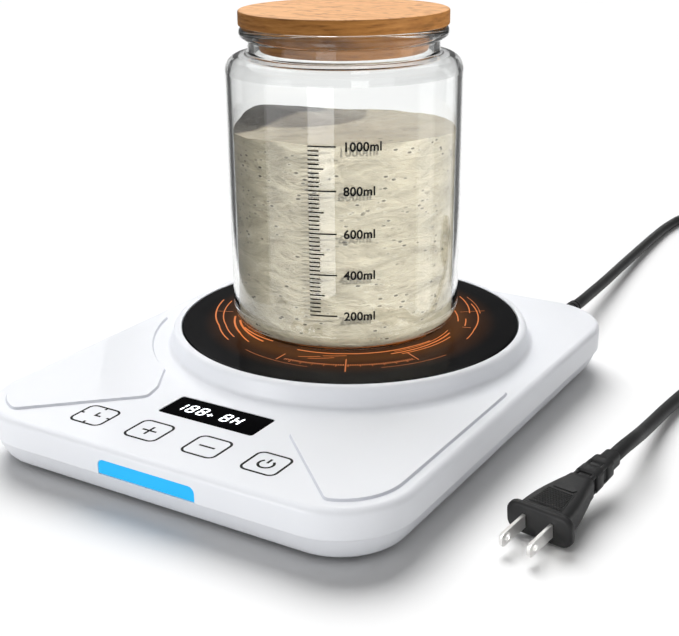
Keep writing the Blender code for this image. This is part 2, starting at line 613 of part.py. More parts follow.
def make_blade(name, x):
    """A flat blade with a clipped tip and a round hole."""
    root = -GAP
    tip = -17.6 * MM
    half = 3.15 * MM
    outline = [(root, -half), (root, half), (tip + 1.6 * MM, half), (tip, half - 1.3 * MM),
               (tip, -half + 1.3 * MM), (tip + 1.6 * MM, -half)]
    bm = bmesh.new()
    skin(bm, [[on_plug(x + side * 0.75 * MM, y, z) for y, z in outline] for side in (-1, 1)])
    blade = add(name, bm, BRASS, smooth=False)
    bm = bmesh.new()
    hole = circle(1.55 * MM, 0, 14)
    skin(bm, [[on_plug(x + side * 2 * MM, tip + 4 * MM + a, b) for a, b, _ in hole] for side in (-1, 1)])
    cut(blade, add(name + "_hole", bm, BRASS))


# ---- jar and lid -----------------------------------------------------------
def make_jar():
    up = JAR_Z / MM
    outside = [(40, 0.9), (43.5, 0), (46, 0.1), (50.5, 0.9), (54.2, 2.9), (56.8, 6.2), (58, 11), (58, 130.5),
               (57.4, 133), (55.8, 135.1), (53.2, 136.5), (47.8, 137.5), (46.7, 138.3), (46.5, 143.9),
               (48.4, 144.2), (50.4, 145.4), (51, 147.2), (50.6, 149), (49.2, 150.2), (47.6, 150.4)]
    inside = [(45.2, 150.2), (44.2, 149), (44.1, 137.6), (44.3, 135.7), (51.6, 134.4), (54.4, 132.4),
              (55.6, 129.4), (55.6, 12), (54.2, 7.6), (51, 4.9), (46, 3.6), (38, 3.4)]
    profile = [(r * MM, (z + up) * MM) for r, z in outside + inside]
    turned("jar_glass", profile, GLASS, JAR_CENTRE, 44)


def make_lid():
    low = JAR_Z + LID_Z
    high = low + LID_T
    turned("lid_disc", [(LID_R - 0.6 * MM, low), (LID_R, low + 0.6 * MM), (LID_R, high - 0.9 * MM),
                        (LID_R - 0.3 * MM, high - 0.3 * MM), (LID_R - 1.0 * MM, high)],
           BAMBOO, JAR_CENTRE, 44)
    bottom = JAR_Z + INSERT_Z
    turned("lid_insert", [(INSERT_R - 0.7 * MM, bottom), (INSERT_R, bottom + 0.7 * MM),
                          (INSERT_R, low - GAP)], BAMBOO, JAR_CENTRE, 44)
    seal_low = JAR_Z + 143 * MM
    seal_high = JAR_Z + 148 * MM
    seal = [(INSERT_R + GAP, seal_low), (43.4 * MM, seal_low), (43.8 * MM, seal_low + 0.8 * MM),
            (43.8 * MM, seal_high - 0.8 * MM), (43.4 * MM, seal_high), (INSERT_R + GAP, seal_high)]
    turned("lid_gasket", seal, SILICONE, JAR_CENTRE, 40, closed=True)


def main():
    clear_scene()
    make_top_cover()
    make_bottom_cover()
    make_feet_and_screws()
    make_heater()
    make_electronics()
    make_panel_lights()
    make_inner_leads()
    make_cord_entry()
    make_cord()
    make_plug()
    make_jar()
    make_lid()


main()
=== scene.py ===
"""Looks of the yogurt maker: a flat heating base, a glass jar with a bamboo lid, and a mains cord.

Mesh helpers work in millimetres and make_object scales to metres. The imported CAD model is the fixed
frame, and every piece made here is placed from it.
"""

import json
import math

import bmesh
import bpy
from mathutils import Matrix, Vector, noise

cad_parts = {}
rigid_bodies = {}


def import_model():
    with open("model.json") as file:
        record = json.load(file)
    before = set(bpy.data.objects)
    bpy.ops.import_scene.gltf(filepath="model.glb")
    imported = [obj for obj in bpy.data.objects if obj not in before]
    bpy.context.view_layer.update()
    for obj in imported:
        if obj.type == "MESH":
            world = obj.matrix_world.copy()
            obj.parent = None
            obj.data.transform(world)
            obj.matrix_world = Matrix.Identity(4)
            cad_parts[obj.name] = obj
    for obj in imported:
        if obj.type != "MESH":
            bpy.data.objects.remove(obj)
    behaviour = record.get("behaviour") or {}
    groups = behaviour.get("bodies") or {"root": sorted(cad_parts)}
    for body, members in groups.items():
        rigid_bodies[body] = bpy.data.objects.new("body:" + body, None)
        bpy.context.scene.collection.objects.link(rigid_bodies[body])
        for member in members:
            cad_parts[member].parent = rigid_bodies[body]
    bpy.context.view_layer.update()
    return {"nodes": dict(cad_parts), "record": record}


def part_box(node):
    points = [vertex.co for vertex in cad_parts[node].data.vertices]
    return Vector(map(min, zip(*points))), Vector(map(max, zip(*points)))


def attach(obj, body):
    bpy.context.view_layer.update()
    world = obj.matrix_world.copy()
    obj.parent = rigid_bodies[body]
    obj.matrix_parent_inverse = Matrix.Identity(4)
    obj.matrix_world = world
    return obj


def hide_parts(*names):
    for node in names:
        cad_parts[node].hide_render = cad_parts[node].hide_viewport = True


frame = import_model()

MM = 0.001
PLATE_LOW, PLATE_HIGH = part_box("glass_plate")
COVER_LOW, COVER_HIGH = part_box("top_cover")
FLOOR_LOW, FLOOR_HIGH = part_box("bottom_cover")
JAR_LOW, JAR_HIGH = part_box("jar_glass")
DISC_LOW, DISC_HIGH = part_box("lid_disc")
INSERT_LOW, INSERT_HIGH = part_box("lid_insert")
GASKET_LOW, GASKET_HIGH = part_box("lid_gasket")
WINDOW_LOW, WINDOW_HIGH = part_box("display_window")
LIGHT_LOW, LIGHT_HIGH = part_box("light_bar")


def mm(value):
    return value / MM


BASE_W = mm(COVER_HIGH.x - COVER_LOW.x)
BASE_L = mm(COVER_HIGH.y - COVER_LOW.y)
CORNER_R = 35.0
DECK_Z = 27.1
PARTING_Z = 13.7
WALL = 2.2
FRONT_Y = mm(COVER_LOW.y)
PLATE_Y = mm(PLATE_LOW.y + PLATE_HIGH.y) / 2
PLATE_R = mm(PLATE_HIGH.x - PLATE_LOW.x) / 2
PLATE_TOP = mm(PLATE_HIGH.z)
JAR_Z = mm(JAR_LOW.z)
JAR_AT = (mm(JAR_LOW.x + JAR_HIGH.x) / 2, mm(JAR_LOW.y + JAR_HIGH.y) / 2)
JAR_R = mm(JAR_HIGH.x - JAR_LOW.x) / 2
PRINT_LIFT = 0.04        # printed marks stand this far off the surface under them


# ---- camera ----------------------------------------------------------------
def make_camera():
    data = bpy.data.cameras.new("camera")
    data.sensor_width = 36.0
    data.lens = 63.5
    data.clip_start = 0.01
    obj = bpy.data.objects.new("camera", data)
    bpy.context.scene.collection.objects.link(obj)
    azimuth, elevation, roll = math.radians(31.44), math.radians(20.27), math.radians(-0.51)
    back = Vector((math.sin(azimuth) * math.cos(elevation), -math.cos(azimuth) * math.cos(elevation),
                   math.sin(elevation)))
    right = Vector((0, 0, 1)).cross(back).normalized()
    up = back.cross(right)
    across = right * math.cos(roll) + up * math.sin(roll)
    over = up * math.cos(roll) - right * math.sin(roll)
    place = Matrix((across, over, back)).transposed().to_4x4()
    place.translation = Vector((0.3030, -0.4742, 0.2540))
    obj.matrix_world = place
    bpy.context.scene.camera = obj


# ---- mesh helpers ----------------------------------------------------------
def skin(bm, rings, closed=False, caps=True):
    """Faces between equal rings of points; returns the rings as vertices."""
    loops = [[bm.verts.new(point) for point in ring] for ring in rings]
    count = len(loops[0])
    pairs = list(zip(loops, loops[1:]))
    if closed:
        pairs.append((loops[-1], loops[0]))
    for low, high in pairs:
        for i in range(count):
            j = (i + 1) % count
            bm.faces.new((low[i], low[j], high[j], high[i]))
    if caps and not closed:
        bm.faces.new(loops[0])
        bm.faces.new(loops[-1])
    return loops


def rounded_rect(width, length, radius, z=0.0, steps=8, centre=(0, 0)):
    points = []
    for quarter, (sx, sy) in enumerate([(1, 1), (-1, 1), (-1, -1), (1, -1)]):
        cx = centre[0] + sx * (width / 2 - radius)
        cy = centre[1] + sy * (length / 2 - radius)
        for k in range(steps + 1):
            angle = math.radians(90 * (quarter + k / steps))
            points.append((cx + radius * math.cos(angle), cy + radius * math.sin(angle), z))
    return points


def circle(radius, z, segs, centre=(0, 0)):
    turn = 2 * math.pi / segs
    return [(centre[0] + radius * math.cos(i * turn), centre[1] + radius * math.sin(i * turn), z)
            for i in range(segs)]


def arc(cx, cz, radius, start, end, steps):
    """Profile points (r, z) along a circular arc, in degrees."""
    points = []
    for k in range(steps + 1):
        angle = math.radians(start + (end - start) * k / steps)
        points.append((cx + radius * math.cos(angle), cz + radius * math.sin(angle)))
    return points


def make_object(name, bm, mat, angle=35):
    bmesh.ops.recalc_face_normals(bm, faces=bm.faces)
    bmesh.ops.scale(bm, vec=(MM, MM, MM), verts=bm.verts)
    mesh = bpy.data.meshes.new(name)
    bm.to_mesh(mesh)
    bm.free()
    obj = bpy.data.objects.new(name, mesh)
    bpy.context.scene.collection.objects.link(obj)
    if mat:
        mesh.materials.append(mat)
    mesh.shade_smooth()
    mesh.set_sharp_from_angle(angle=math.radians(angle))
    return obj


def settle(obj, body, slot, *nodes):
    """Attach a finished piece to its body and hide the CAD nodes it stands for; slot is not used."""
    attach(obj, body)
    if nodes:
        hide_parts(*nodes)
    return obj


def turned(name, profile, mat, centre=(0, 0), segs=96, closed=False, bm=None, angle=35):
    """Revolve (radius, z) points about a vertical axis."""
    mesh = bm or bmesh.new()
    skin(mesh, [circle(r, z, segs, centre) for r, z in profile], closed)
    return None if bm else make_object(name, mesh, mat, angle)


def boolean(target, tool, operation="DIFFERENCE"):
    """Apply one solid to another and drop the tool."""
    change = target.modifiers.new("bool", "BOOLEAN")
    change.operation = operation
    change.object = tool
    change.use_self = True
    bpy.context.view_layer.update()
    graph = bpy.context.evaluated_depsgraph_get()
    mesh = bpy.data.meshes.new_from_object(target.evaluated_get(graph))
    target.modifiers.clear()
    target.data = mesh
    bpy.data.objects.remove(tool, do_unlink=True)


def weighted(obj):
    """Keep big flats flat and small rounds smooth."""
    change = obj.modifiers.new("weighted", "WEIGHTED_NORMAL")
    change.keep_sharp = True
    change.weight = 100


def round_corners(corners, steps=6):
    """Replace each (x, y, radius) corner of a polygon with an arc of that radius."""
    points = []
    count = len(corners)
    for i, (x, y, radius) in enumerate(corners):
        here = Vector((x, y))
        if radius <= 0:
            points.append(here)
            continue
        before = (Vector(corners[i - 1][:2]) - here).normalized()
        after = (Vector(corners[(i + 1) % count][:2]) - here).normalized()
        half = before.angle(after) / 2
        reach = radius / math.tan(half)
        middle = here + (before + after).normalized() * (radius / math.sin(half))
        start = here + before * reach - middle
        end = here + after * reach - middle
        turn = start.angle_signed(end)
        for k in range(steps + 1):
            a = -turn * k / steps
            points.append(middle + Vector((start.x * math.cos(a) - start.y * math.sin(a),
                                           start.x * math.sin(a) + start.y * math.cos(a))))
    return points


def inset_outline(points, amount):
    """Move a counter-clockwise outline inwards by amount."""
    moved = []
    count = len(points)
    for i, here in enumerate(points):
        d1 = (here - points[i - 1]).normalized()
        d2 = (points[(i + 1) % count] - here).normalized()
        n1, n2 = Vector((-d1.y, d1.x)), Vector((-d2.y, d2.x))
        middle = (n1 + n2).normalized()
        moved.append(here + middle * (amount / max(middle.dot(n1), 0.4)))
    return moved


def smoothstep(t):
    t = min(max(t, 0.0), 1.0)
    return t * t * (3 - 2 * t)


# ---- node helpers ----------------------------------------------------------
class Nodes:
    """A small wrapper that builds one material's node tree."""

    def __init__(self, name):
        self.mat = bpy.data.materials.new(name)
        self.mat.use_nodes = True
        self.tree = self.mat.node_tree
        self.shader = self.tree.nodes["Principled BSDF"]

    def node(self, kind, **values):
        made = self.tree.nodes.new(kind)
        for key, value in values.items():
            setattr(made, key, value)
        return made

    def link(self, out, into):
        self.tree.links.new(out, into)

    def set(self, **values):
        for key, value in values.items():
            self.shader.inputs[key.replace("_", " ")].default_value = value

    def coords(self, scale=(1, 1, 1)):
        texture = self.node("ShaderNodeTexCoord")
        mapping = self.node("ShaderNodeMapping")
        mapping.inputs["Scale"].default_value = scale
        self.link(texture.outputs["Object"], mapping.inputs["Vector"])
        return mapping.outputs["Vector"]

    def noise(self, vector, scale, detail=3.0, rough=0.5, distortion=0.0):
        made = self.node("ShaderNodeTexNoise")
        made.inputs["Scale"].default_value = scale
        made.inputs["Detail"].default_value = detail
        made.inputs["Roughness"].default_value = rough
        made.inputs["Distortion"].default_value = distortion
        self.link(vector, made.inputs["Vector"])
        return made.outputs["Fac"]

    def ramp(self, fac, stops, interpolation="LINEAR"):
        made = self.node("ShaderNodeValToRGB")
        made.color_ramp.interpolation = interpolation
        elements = made.color_ramp.elements
        while len(elements) < len(stops):
            elements.new(0.5)
        for element, (place, color) in zip(elements, stops):
            element.position = place
            element.color = (*color, 1.0) if hasattr(color, "__len__") else (color, color, color, 1.0)
        self.link(fac, made.inputs["Fac"])
        return made.outputs["Color"]

    def remap(self, fac, low, high):
        made = self.node("ShaderNodeMapRange")
        made.inputs["To Min"].default_value = low
        made.inputs["To Max"].default_value = high
        self.link(fac, made.inputs["Value"])
        return made.outputs["Result"]

    def mix(self, fac, a, b, blend="MIX"):
        made = self.node("ShaderNodeMix", data_type="RGBA", blend_type=blend)
        for value, socket in [(fac, made.inputs["Factor"]), (a, made.inputs["A"]), (b, made.inputs["B"])]:
            if isinstance(value, bpy.types.NodeSocket):
                self.link(value, socket)
            elif hasattr(value, "__len__"):
                socket.default_value = (*value, 1.0)
            else:
                socket.default_value = value
        return made.outputs["Result"]

    def math(self, operation, a, b=0.0):
        made = self.node("ShaderNodeMath", operation=operation)
        for value, socket in [(a, made.inputs[0]), (b, made.inputs[1])]:
            if isinstance(value, bpy.types.NodeSocket):
                self.link(value, socket)
            else:
                socket.default_value = value
        return made.outputs["Value"]

    def bump(self, height, strength, distance):
        made = self.node("ShaderNodeBump")
        made.inputs["Strength"].default_value = strength
        made.inputs["Distance"].default_value = distance
        self.link(height, made.inputs["Height"])
        self.link(made.outputs["Normal"], self.shader.inputs["Normal"])


def linear(r, g, b):
    """An sRGB colour in 0..255 as the linear values a shader takes."""
    def one(c):
        c /= 255
        return c / 12.92 if c <= 0.04045 else ((c + 0.055) / 1.055) ** 2.4
    return one(r), one(g), one(b)


# ---- materials -------------------------------------------------------------
def plastic(name, color, rough=0.38, grain=900, bump=0.12, spread=0.05, specular=0.5):
    """Moulded plastic: fine spark-eroded grain, and slow drifts in gloss and tone."""
    n = Nodes(name)
    vector = n.coords()
    slow = n.noise(vector, 14, 2)
    fine = n.noise(vector, grain, 4, 0.6)
    tone = [c * 0.965 for c in color]
    n.link(n.mix(n.remap(slow, 0, 1), tone, color), n.shader.inputs["Base Color"])
    mixed = n.math("ADD", n.remap(slow, -spread, spread), n.remap(fine, rough - 0.04, rough + 0.04))
    n.link(mixed, n.shader.inputs["Roughness"])
    n.set(Specular_IOR_Level=specular)
    n.bump(fine, bump, 0.00005)
    return n.mat


def metal(name, color, rough, stretch=(1, 1, 1), scale=700):
    """Drawn or rolled metal: fine lines along one way, with small stains."""
    n = Nodes(name)
    lines = n.noise(n.coords(stretch), scale, 4, 0.65)
    stain = n.noise(n.coords(), 60, 3)
    dark = [c * 0.78 for c in color]
    n.link(n.mix(n.remap(stain, 0.1, 0.9), dark, color), n.shader.inputs["Base Color"])
    n.link(n.remap(lines, rough - 0.08, rough + 0.12), n.shader.inputs["Roughness"])
    n.set(Metallic=1.0)
    n.bump(lines, 0.25, 0.00004)
    return n.mat


def rubber(name, color, rough=0.6, grain=1300, bump=0.2):
    n = Nodes(name)
    vector = n.coords()
    fine = n.noise(vector, grain, 3, 0.6)
    slow = n.noise(vector, 40, 3)
    n.link(n.mix(slow, [c * 0.8 for c in color], [min(c * 1.25, 1) for c in color]),
           n.shader.inputs["Base Color"])
    n.link(n.remap(fine, rough - 0.08, rough + 0.1), n.shader.inputs["Roughness"])
    n.set(Specular_IOR_Level=0.35)
    n.bump(fine, bump, 0.00008)
    return n.mat


def black_glass():
    """Printed ceramic glass: deep black, a faint amber glow where the heat zone is lit."""
    n = Nodes("black_plate_glass")
    vector = n.coords()
    smear = n.noise(vector, 35, 4, 0.6, 0.4)
    n.link(n.mix(smear, (0.002, 0.002, 0.0022), (0.006, 0.006, 0.0065)), n.shader.inputs["Base Color"])
    n.link(n.remap(smear, 0.10, 0.2), n.shader.inputs["Roughness"])
    apart = n.node("ShaderNodeVectorMath", operation="SUBTRACT")
    apart.inputs[1].default_value = (0, PLATE_Y * MM, PLATE_TOP * MM)
    n.link(n.node("ShaderNodeTexCoord").outputs["Object"], apart.inputs[0])
    length = n.node("ShaderNodeVectorMath", operation="LENGTH")
    n.link(apart.outputs["Vector"], length.inputs[0])
    radius = n.math("MULTIPLY", length.outputs["Value"], 10.0)
    glow = n.ramp(radius, [(0.0, 0.0), (0.40, (0.02, 0.006, 0.0)), (0.57, (0.10, 0.034, 0.005)),
                           (0.66, (0.04, 0.013, 0.002)), (0.78, 0.0)], "EASE")
    n.link(glow, n.shader.inputs["Emission Color"])
    n.set(Emission_Strength=0.8, Specular_IOR_Level=0.02)
    n.bump(n.noise(vector, 9, 2), 0.05, 0.0002)
    return n.mat


def clear_glass(name="clear_jar_glass"):
    """Clear soda-lime glass with slight waves from blowing."""
    n = Nodes(name)
    waves = n.noise(n.coords((1, 1, 0.35)), 28, 3, 0.5)
    n.link(n.ramp(waves, [(0.0, (0.975, 0.985, 0.98)), (1.0, (0.99, 0.996, 0.993))]),
           n.shader.inputs["Base Color"])
    n.link(n.remap(waves, 0.0, 0.012), n.shader.inputs["Roughness"])
    n.set(Transmission_Weight=1.0, IOR=1.5)
    n.bump(waves, 0.06, 0.0004)
    return n.mat


def clear_silicone():
    n = Nodes("clear_silicone")
    fine = n.noise(n.coords(), 260, 3)
    n.link(n.mix(fine, (0.95, 0.94, 0.92), (0.985, 0.98, 0.97)), n.shader.inputs["Base Color"])
    n.link(n.remap(fine, 0.02, 0.05), n.shader.inputs["Roughness"])
    n.set(Transmission_Weight=1.0, IOR=1.18)
    n.bump(fine, 0.1, 0.00005)
    return n.mat


def bamboo(name, face, light, mid, dark):
    """Pressed bamboo: broad strips, fine fibres, and short dark vessel marks along them."""
    n = Nodes(name)
    vector = n.coords()
    turn = math.radians(62 if face else 0)
    spun = n.node("ShaderNodeMapping")
    spun.inputs["Rotation"].default_value = (0, 0, turn)
    spun.inputs["Scale"].default_value = (1, 26, 26) if face else (4, 4, 34)
    n.link(vector, spun.inputs["Vector"])
    fibres = n.noise(spun.outputs["Vector"], 26 if face else 20, 5, 0.62, 0.15)
    strips = n.noise(spun.outputs["Vector"], 3.2, 2, 0.4)
    base = n.ramp(fibres, [(0.28, linear(*dark)), (0.45, linear(*mid)), (0.68, linear(*light))])
    toned = n.mix(n.remap(strips, 0.0, 0.3 if face else 0.6), base, [c * 0.72 for c in linear(*mid)])
    marks = n.node("ShaderNodeTexVoronoi", feature="F1")
    marks.inputs["Scale"].default_value = 560 if face else 190
    squeezed = n.node("ShaderNodeMapping")
    squeezed.inputs["Rotation"].default_value = (0, 0, turn)
    squeezed.inputs["Scale"].default_value = (0.22, 1.0, 1.0) if face else (0.12, 0.12, 1.6)
    n.link(vector, squeezed.inputs["Vector"])
    n.link(squeezed.outputs["Vector"], marks.inputs["Vector"])
    picked = n.ramp(marks.outputs["Distance"], [(0.18, 1.0), (0.36, 0.0)])
    patchy = n.ramp(n.noise(vector, 70, 2), [(0.32, 0.0), (0.52, 1.0)])
    amount = n.math("MULTIPLY", n.math("MULTIPLY", picked, patchy), 0.95 if face else 0.5)
    n.link(n.mix(amount, toned, [c * 0.55 for c in linear(*dark)]), n.shader.inputs["Base Color"])
    n.link(n.remap(fibres, 0.66, 0.48), n.shader.inputs["Roughness"])
    n.set(Specular_IOR_Level=0.12)
    n.bump(fibres, 0.35, 0.0002)
    return n.mat


def fermented(name, top=False):
    """Thick cream-coloured culture: level streaks, small pits with painted shade in them and a painted highlight on
    their rims; on top, painted shade darkens the colour, most at the back left.
    """
    n = Nodes(name)
    flow = n.noise(n.coords((1, 1, 1) if top else (1, 1, 3.0)), 30, 6, 0.66, 1.2)
    blots = n.noise(n.coords((1, 1, 2.4)), 90, 4, 0.62, 0.6)
    base = n.ramp(flow, [(0.30, linear(124, 118, 101)), (0.44, linear(143, 137, 119)),
                         (0.58, linear(158, 151, 132)), (0.76, linear(178, 172, 155))])
    streaked = n.mix(n.ramp(blots, [(0.32, 0.5), (0.45, 0.0)]), base, linear(104, 97, 81))
    cells = n.node("ShaderNodeTexVoronoi", feature="F1")
    cells.inputs["Scale"].default_value = 190
    n.link(n.coords((1, 1, 2.2)), cells.inputs["Vector"])
    scattered = n.ramp(n.noise(n.coords(), 60, 3), [(0.47, 0.0), (0.57, 1.0)])
    # Painted shade in the pits, and a painted highlight on their rims.
    pit = n.math("MULTIPLY", n.ramp(cells.outputs["Distance"], [(0.18, 1.0), (0.27, 0.0)]), scattered)
    rim = n.math("MULTIPLY", n.ramp(cells.outputs["Distance"], [(0.2, 0.0), (0.28, 1.0), (0.36, 0.0)]), scattered)
    pitted = n.mix(n.math("MULTIPLY", pit, 0.85), streaked, linear(56, 50, 38))
    shade = n.mix(n.math("MULTIPLY", rim, 0.45), pitted, linear(184, 180, 166))
    # On top the colour is darkened as painted shade, and the back left much more, as a deeper painted shade.
    if top:
        shade = n.mix(back_left_shade_mask(n), n.mix(0.42, shade, linear(92, 84, 66)), linear(30, 24, 17))
    n.link(shade, n.shader.inputs["Base Color"])
    n.link(n.remap(blots, 0.42, 0.62), n.shader.inputs["Roughness"])
    n.set(Subsurface_Weight=0.12, Subsurface_Scale=0.002, Specular_IOR_Level=0.3)
    n.shader.inputs["Subsurface Radius"].default_value = (1.0, 0.7, 0.45)
    n.bump(n.math("ADD", flow, blots), 0.55, 0.0012)
    return n.mat


def back_left_shade_mask(n):
    """1 on the back left part of the top, where painted shade darkens the culture."""
    apart = n.node("ShaderNodeVectorMath", operation="SUBTRACT")
    apart.inputs[1].default_value = (JAR_AT[0] * MM, JAR_AT[1] * MM, 0)
    n.link(n.coords(), apart.inputs[0])
    ragged = n.math("MULTIPLY", n.math("SUBTRACT", n.noise(n.coords(), 70, 4, 0.6), 0.5), 0.014)
    edges = []
    for across, back, offset in [(-1.80, 0.07, 0.056), (-0.853, -0.522, 0.008)]:
        side = n.node("ShaderNodeVectorMath", operation="DOT_PRODUCT")
        side.inputs[1].default_value = (across, back, 0)
        n.link(apart.outputs["Vector"], side.inputs[0])
        past = n.math("ADD", n.math("SUBTRACT", side.outputs["Value"], offset), ragged)
        edges.append(n.ramp(n.math("MULTIPLY", past, 160.0), [(0.0, 0.0), (1.0, 1.0)]))
    return n.math("MULTIPLY", n.math("MULTIPLY", *edges), 0.9)


def lit(name, color, strength, rough=0.4, share=1.0):
    """A lit plastic or print: slight unevenness in its own light; share scales its unlit colour."""
    n = Nodes(name)
    uneven = n.noise(n.coords(), 120, 2)
    body = [c * share for c in color]
    n.link(n.mix(uneven, [c * 0.93 for c in body], body), n.shader.inputs["Base Color"])
    n.link(n.mix(uneven, [c * 0.93 for c in color], color), n.shader.inputs["Emission Color"])
    n.link(n.remap(uneven, rough - 0.05, rough + 0.05), n.shader.inputs["Roughness"])
    n.set(Emission_Strength=strength, Specular_IOR_Level=0.1)
    return n.mat


def ink(name="black_ink"):
    n = Nodes(name)
    fine = n.noise(n.coords(), 1500, 3)
    n.link(n.mix(fine, (0.001, 0.001, 0.001), (0.006, 0.006, 0.006)), n.shader.inputs["Base Color"])
    n.link(n.remap(fine, 0.55, 0.7), n.shader.inputs["Roughness"])
    n.set(Specular_IOR_Level=0.1)
    n.bump(fine, 0.1, 0.00003)
    return n.mat


def smoked_window():
    n = Nodes("smoked_window")
    fine = n.noise(n.coords(), 50, 3)
    n.link(n.mix(fine, (0.0018, 0.0018, 0.002), (0.005, 0.005, 0.0055)), n.shader.inputs["Base Color"])
    n.link(n.remap(fine, 0.1, 0.2), n.shader.inputs["Roughness"])
    n.set(Specular_IOR_Level=0.0)
    n.bump(fine, 0.02, 0.0001)
    return n.mat


def circuit(name="solder_mask"):
    """Green solder mask with raised copper tracks."""
    n = Nodes(name)
    tracks = n.node("ShaderNodeTexBrick")
    tracks.inputs["Scale"].default_value = 160
    tracks.inputs["Mortar Size"].default_value = 0.03
    tracks.inputs["Color1"].default_value = (0.02, 0.16, 0.06, 1)
    tracks.inputs["Color2"].default_value = (0.03, 0.22, 0.08, 1)
    tracks.inputs["Mortar"].default_value = (0.05, 0.34, 0.13, 1)
    n.link(n.coords(), tracks.inputs["Vector"])
    n.link(tracks.outputs["Color"], n.shader.inputs["Base Color"])
    n.link(n.remap(tracks.outputs["Fac"], 0.35, 0.5), n.shader.inputs["Roughness"])
    n.bump(tracks.outputs["Fac"], 0.4, 0.00005)
    return n.mat


def felt():
    n = Nodes("ceramic_felt")
    hair = n.noise(n.coords(), 420, 6, 0.75, 1.5)
    n.link(n.mix(hair, linear(196, 192, 182), linear(238, 236, 228)), n.shader.inputs["Base Color"])
    n.set(Roughness=0.95)
    n.bump(hair, 0.8, 0.0004)
    return n.mat


WHITE_RGB = (0.76, 0.775, 0.81)
MATS = {
    "white": plastic("white_moulded_plastic", WHITE_RGB, 0.40),
    # A darker copy of the white plastic: painted shade for the wing steps.
    "white_step_shade": plastic("white_step_painted_shade", (0.60, 0.615, 0.67), 0.45),
    "plate": black_glass(),
    "glass": clear_glass(),
    "silicone": clear_silicone(),
    "lid_face": bamboo("bamboo_face", True, (240, 182, 120), (226, 164, 102), (172, 114, 62)),
    "lid_side": bamboo("bamboo_side", False, (190, 132, 70), (160, 107, 52), (112, 70, 32)),
    "culture": fermented("thick_culture"),
    # The top's copy of the culture, darkened as painted shade.
    "culture_top_painted_shade": fermented("culture_top_painted_shade", True),
    "ink": ink(),
    "digit": lit("white_digits", (0.93, 0.95, 1.0), 1.4),
    "window": smoked_window(),
    "light": lit("blue_light", (0.028, 0.515, 1.0), 0.66, share=0.35),
    "amber": lit("amber_print", linear(238, 122, 24), 0.85, share=0.05),
    "amber_dim": lit("amber_print_dim", linear(212, 110, 26), 0.85, share=0.05),
    "rubber": rubber("foot_rubber", (0.05, 0.05, 0.05), 0.75),
    "cord": rubber("cord_jacket", (0.006, 0.006, 0.0065), 0.5, 700, 0.15),
    "plug": rubber("plug_plastic", (0.008, 0.008, 0.0085), 0.5, 900, 0.2),
    "nickel": metal("nickelled_brass", (0.90, 0.89, 0.87), 0.34, (1, 0.1, 1)),
    "steel": metal("zinc_steel", (0.6, 0.61, 0.63), 0.32, (0.15, 1, 1)),
    "aluminium": metal("rolled_aluminium", (0.78, 0.79, 0.8), 0.34, (0.1, 1, 1)),
    "board": circuit(),
    "felt": felt(),
    "film": plastic("amber_film", (0.36, 0.16, 0.05), 0.3),
    "black": plastic("moulded_epoxy", (0.018, 0.018, 0.019), 0.45),
    "tape": plastic("coil_tape", (0.6, 0.42, 0.06), 0.4),
    "terminal": plastic("green_terminal", (0.04, 0.26, 0.09), 0.45),
    "led": plastic("led_epoxy", (0.82, 0.82, 0.74), 0.2),
    "red": rubber("red_wire", (0.36, 0.02, 0.02), 0.5),
    "pale_wire": rubber("white_wire", (0.7, 0.7, 0.68), 0.5),
}


# ---- cord ------------------------------------------------------------------
CORD_D = 6.5 * MM
COIL_LOW, COIL_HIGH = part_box("cord_coil")
COIL_CENTRE = (COIL_LOW + COIL_HIGH) / 2
COIL_TURNS = 3
COIL_R = 36 * MM
REAR_ROUTE_MM = [(74, 168.3, 13.7), (73.9, 180, 13.4), (72.3, 198, 11.9), (69.6, 232, 9.6), (66, 275, 7.2),
                 (62.8, 320, 5.2), (60.6, 363, 4.0), (60.2, 400, 3.4), (64, 430, 3.4), (76, 448.6, 3.4),
                 (97, 457.6, 3.4), (121, 458.6, 3.4), (140, 441, 3.4), (147, 412, 3.4), (148, 375, 3.5),
                 (148, 335, 4.0), (148.4, 312, 4.9)]
PLUG_FACE = Vector((149.9, -72.1, 8.2))
PLUG_PLACE = (Matrix.Translation(PLUG_FACE) @ Matrix.Rotation(math.radians(-9), 4, "Z")
              @ Matrix.Rotation(math.radians(6), 4, "X"))
FRONT_ROUTE_MM = [(152.6, 222, 4.2), (158, 196, 3.5), (162, 168, 3.4), (163.5, 140, 3.4), (162, 115, 3.4),
                  (159.9, 88, 4.1), (159.2, 66, 5.6), (159.7, 46, 8.0), (160.6, 26, 11.2), (161.6, 10, 14.6),
                  PLUG_PLACE @ Vector((0, 71, 0)), PLUG_PLACE @ Vector((0, 62.42, 0))]


def coil_points():
    """Turns of the coil, wound anticlockwise from its left side and back to it."""
    inner, outer = COIL_R - 3.35 * MM, COIL_R + 3.35 * MM
    low, high = COIL_LOW.z + 3.4 * MM, COIL_LOW.z + 10.2 * MM
    # radius and height at the end of each whole turn: outer low, inner low, inner high, outer high
    stations = [(outer, low), (inner, low), (inner, high), (outer, high)]
    points = []
    per_turn = 24
    total = COIL_TURNS * per_turn
    for i in range(total + 1):
        turn = i / per_turn
        index = min(int(turn), COIL_TURNS - 1)
        share = smoothstep((turn - index - 0.35) / 0.3)
        r = stations[index][0] + (stations[index + 1][0] - stations[index][0]) * share
        z = stations[index][1] + (stations[index + 1][1] - stations[index][1]) * share
        a = math.pi + 2 * math.pi * turn
        points.append(Vector((COIL_CENTRE.x + r * math.cos(a), COIL_CENTRE.y + r * math.sin(a), z)))
    return points


def smooth_path(points, per=6):
    """A dense smooth line through the points."""
    dense = []
    for i in range(len(points) - 1):
        p0, p1 = points[max(i - 1, 0)], points[i]
        p2, p3 = points[i + 1], points[min(i + 2, len(points) - 1)]
        for k in range(per):
            t = k / per
            m1, m2 = (p2 - p0) * 0.5, (p3 - p1) * 0.5
            dense.append(p1 * (2 * t**3 - 3 * t**2 + 1) + m1 * (t**3 - 2 * t**2 + t)
                         + p2 * (3 * t**2 - 2 * t**3) + m2 * (t**3 - t**2))
    dense.append(points[-1])
    return dense


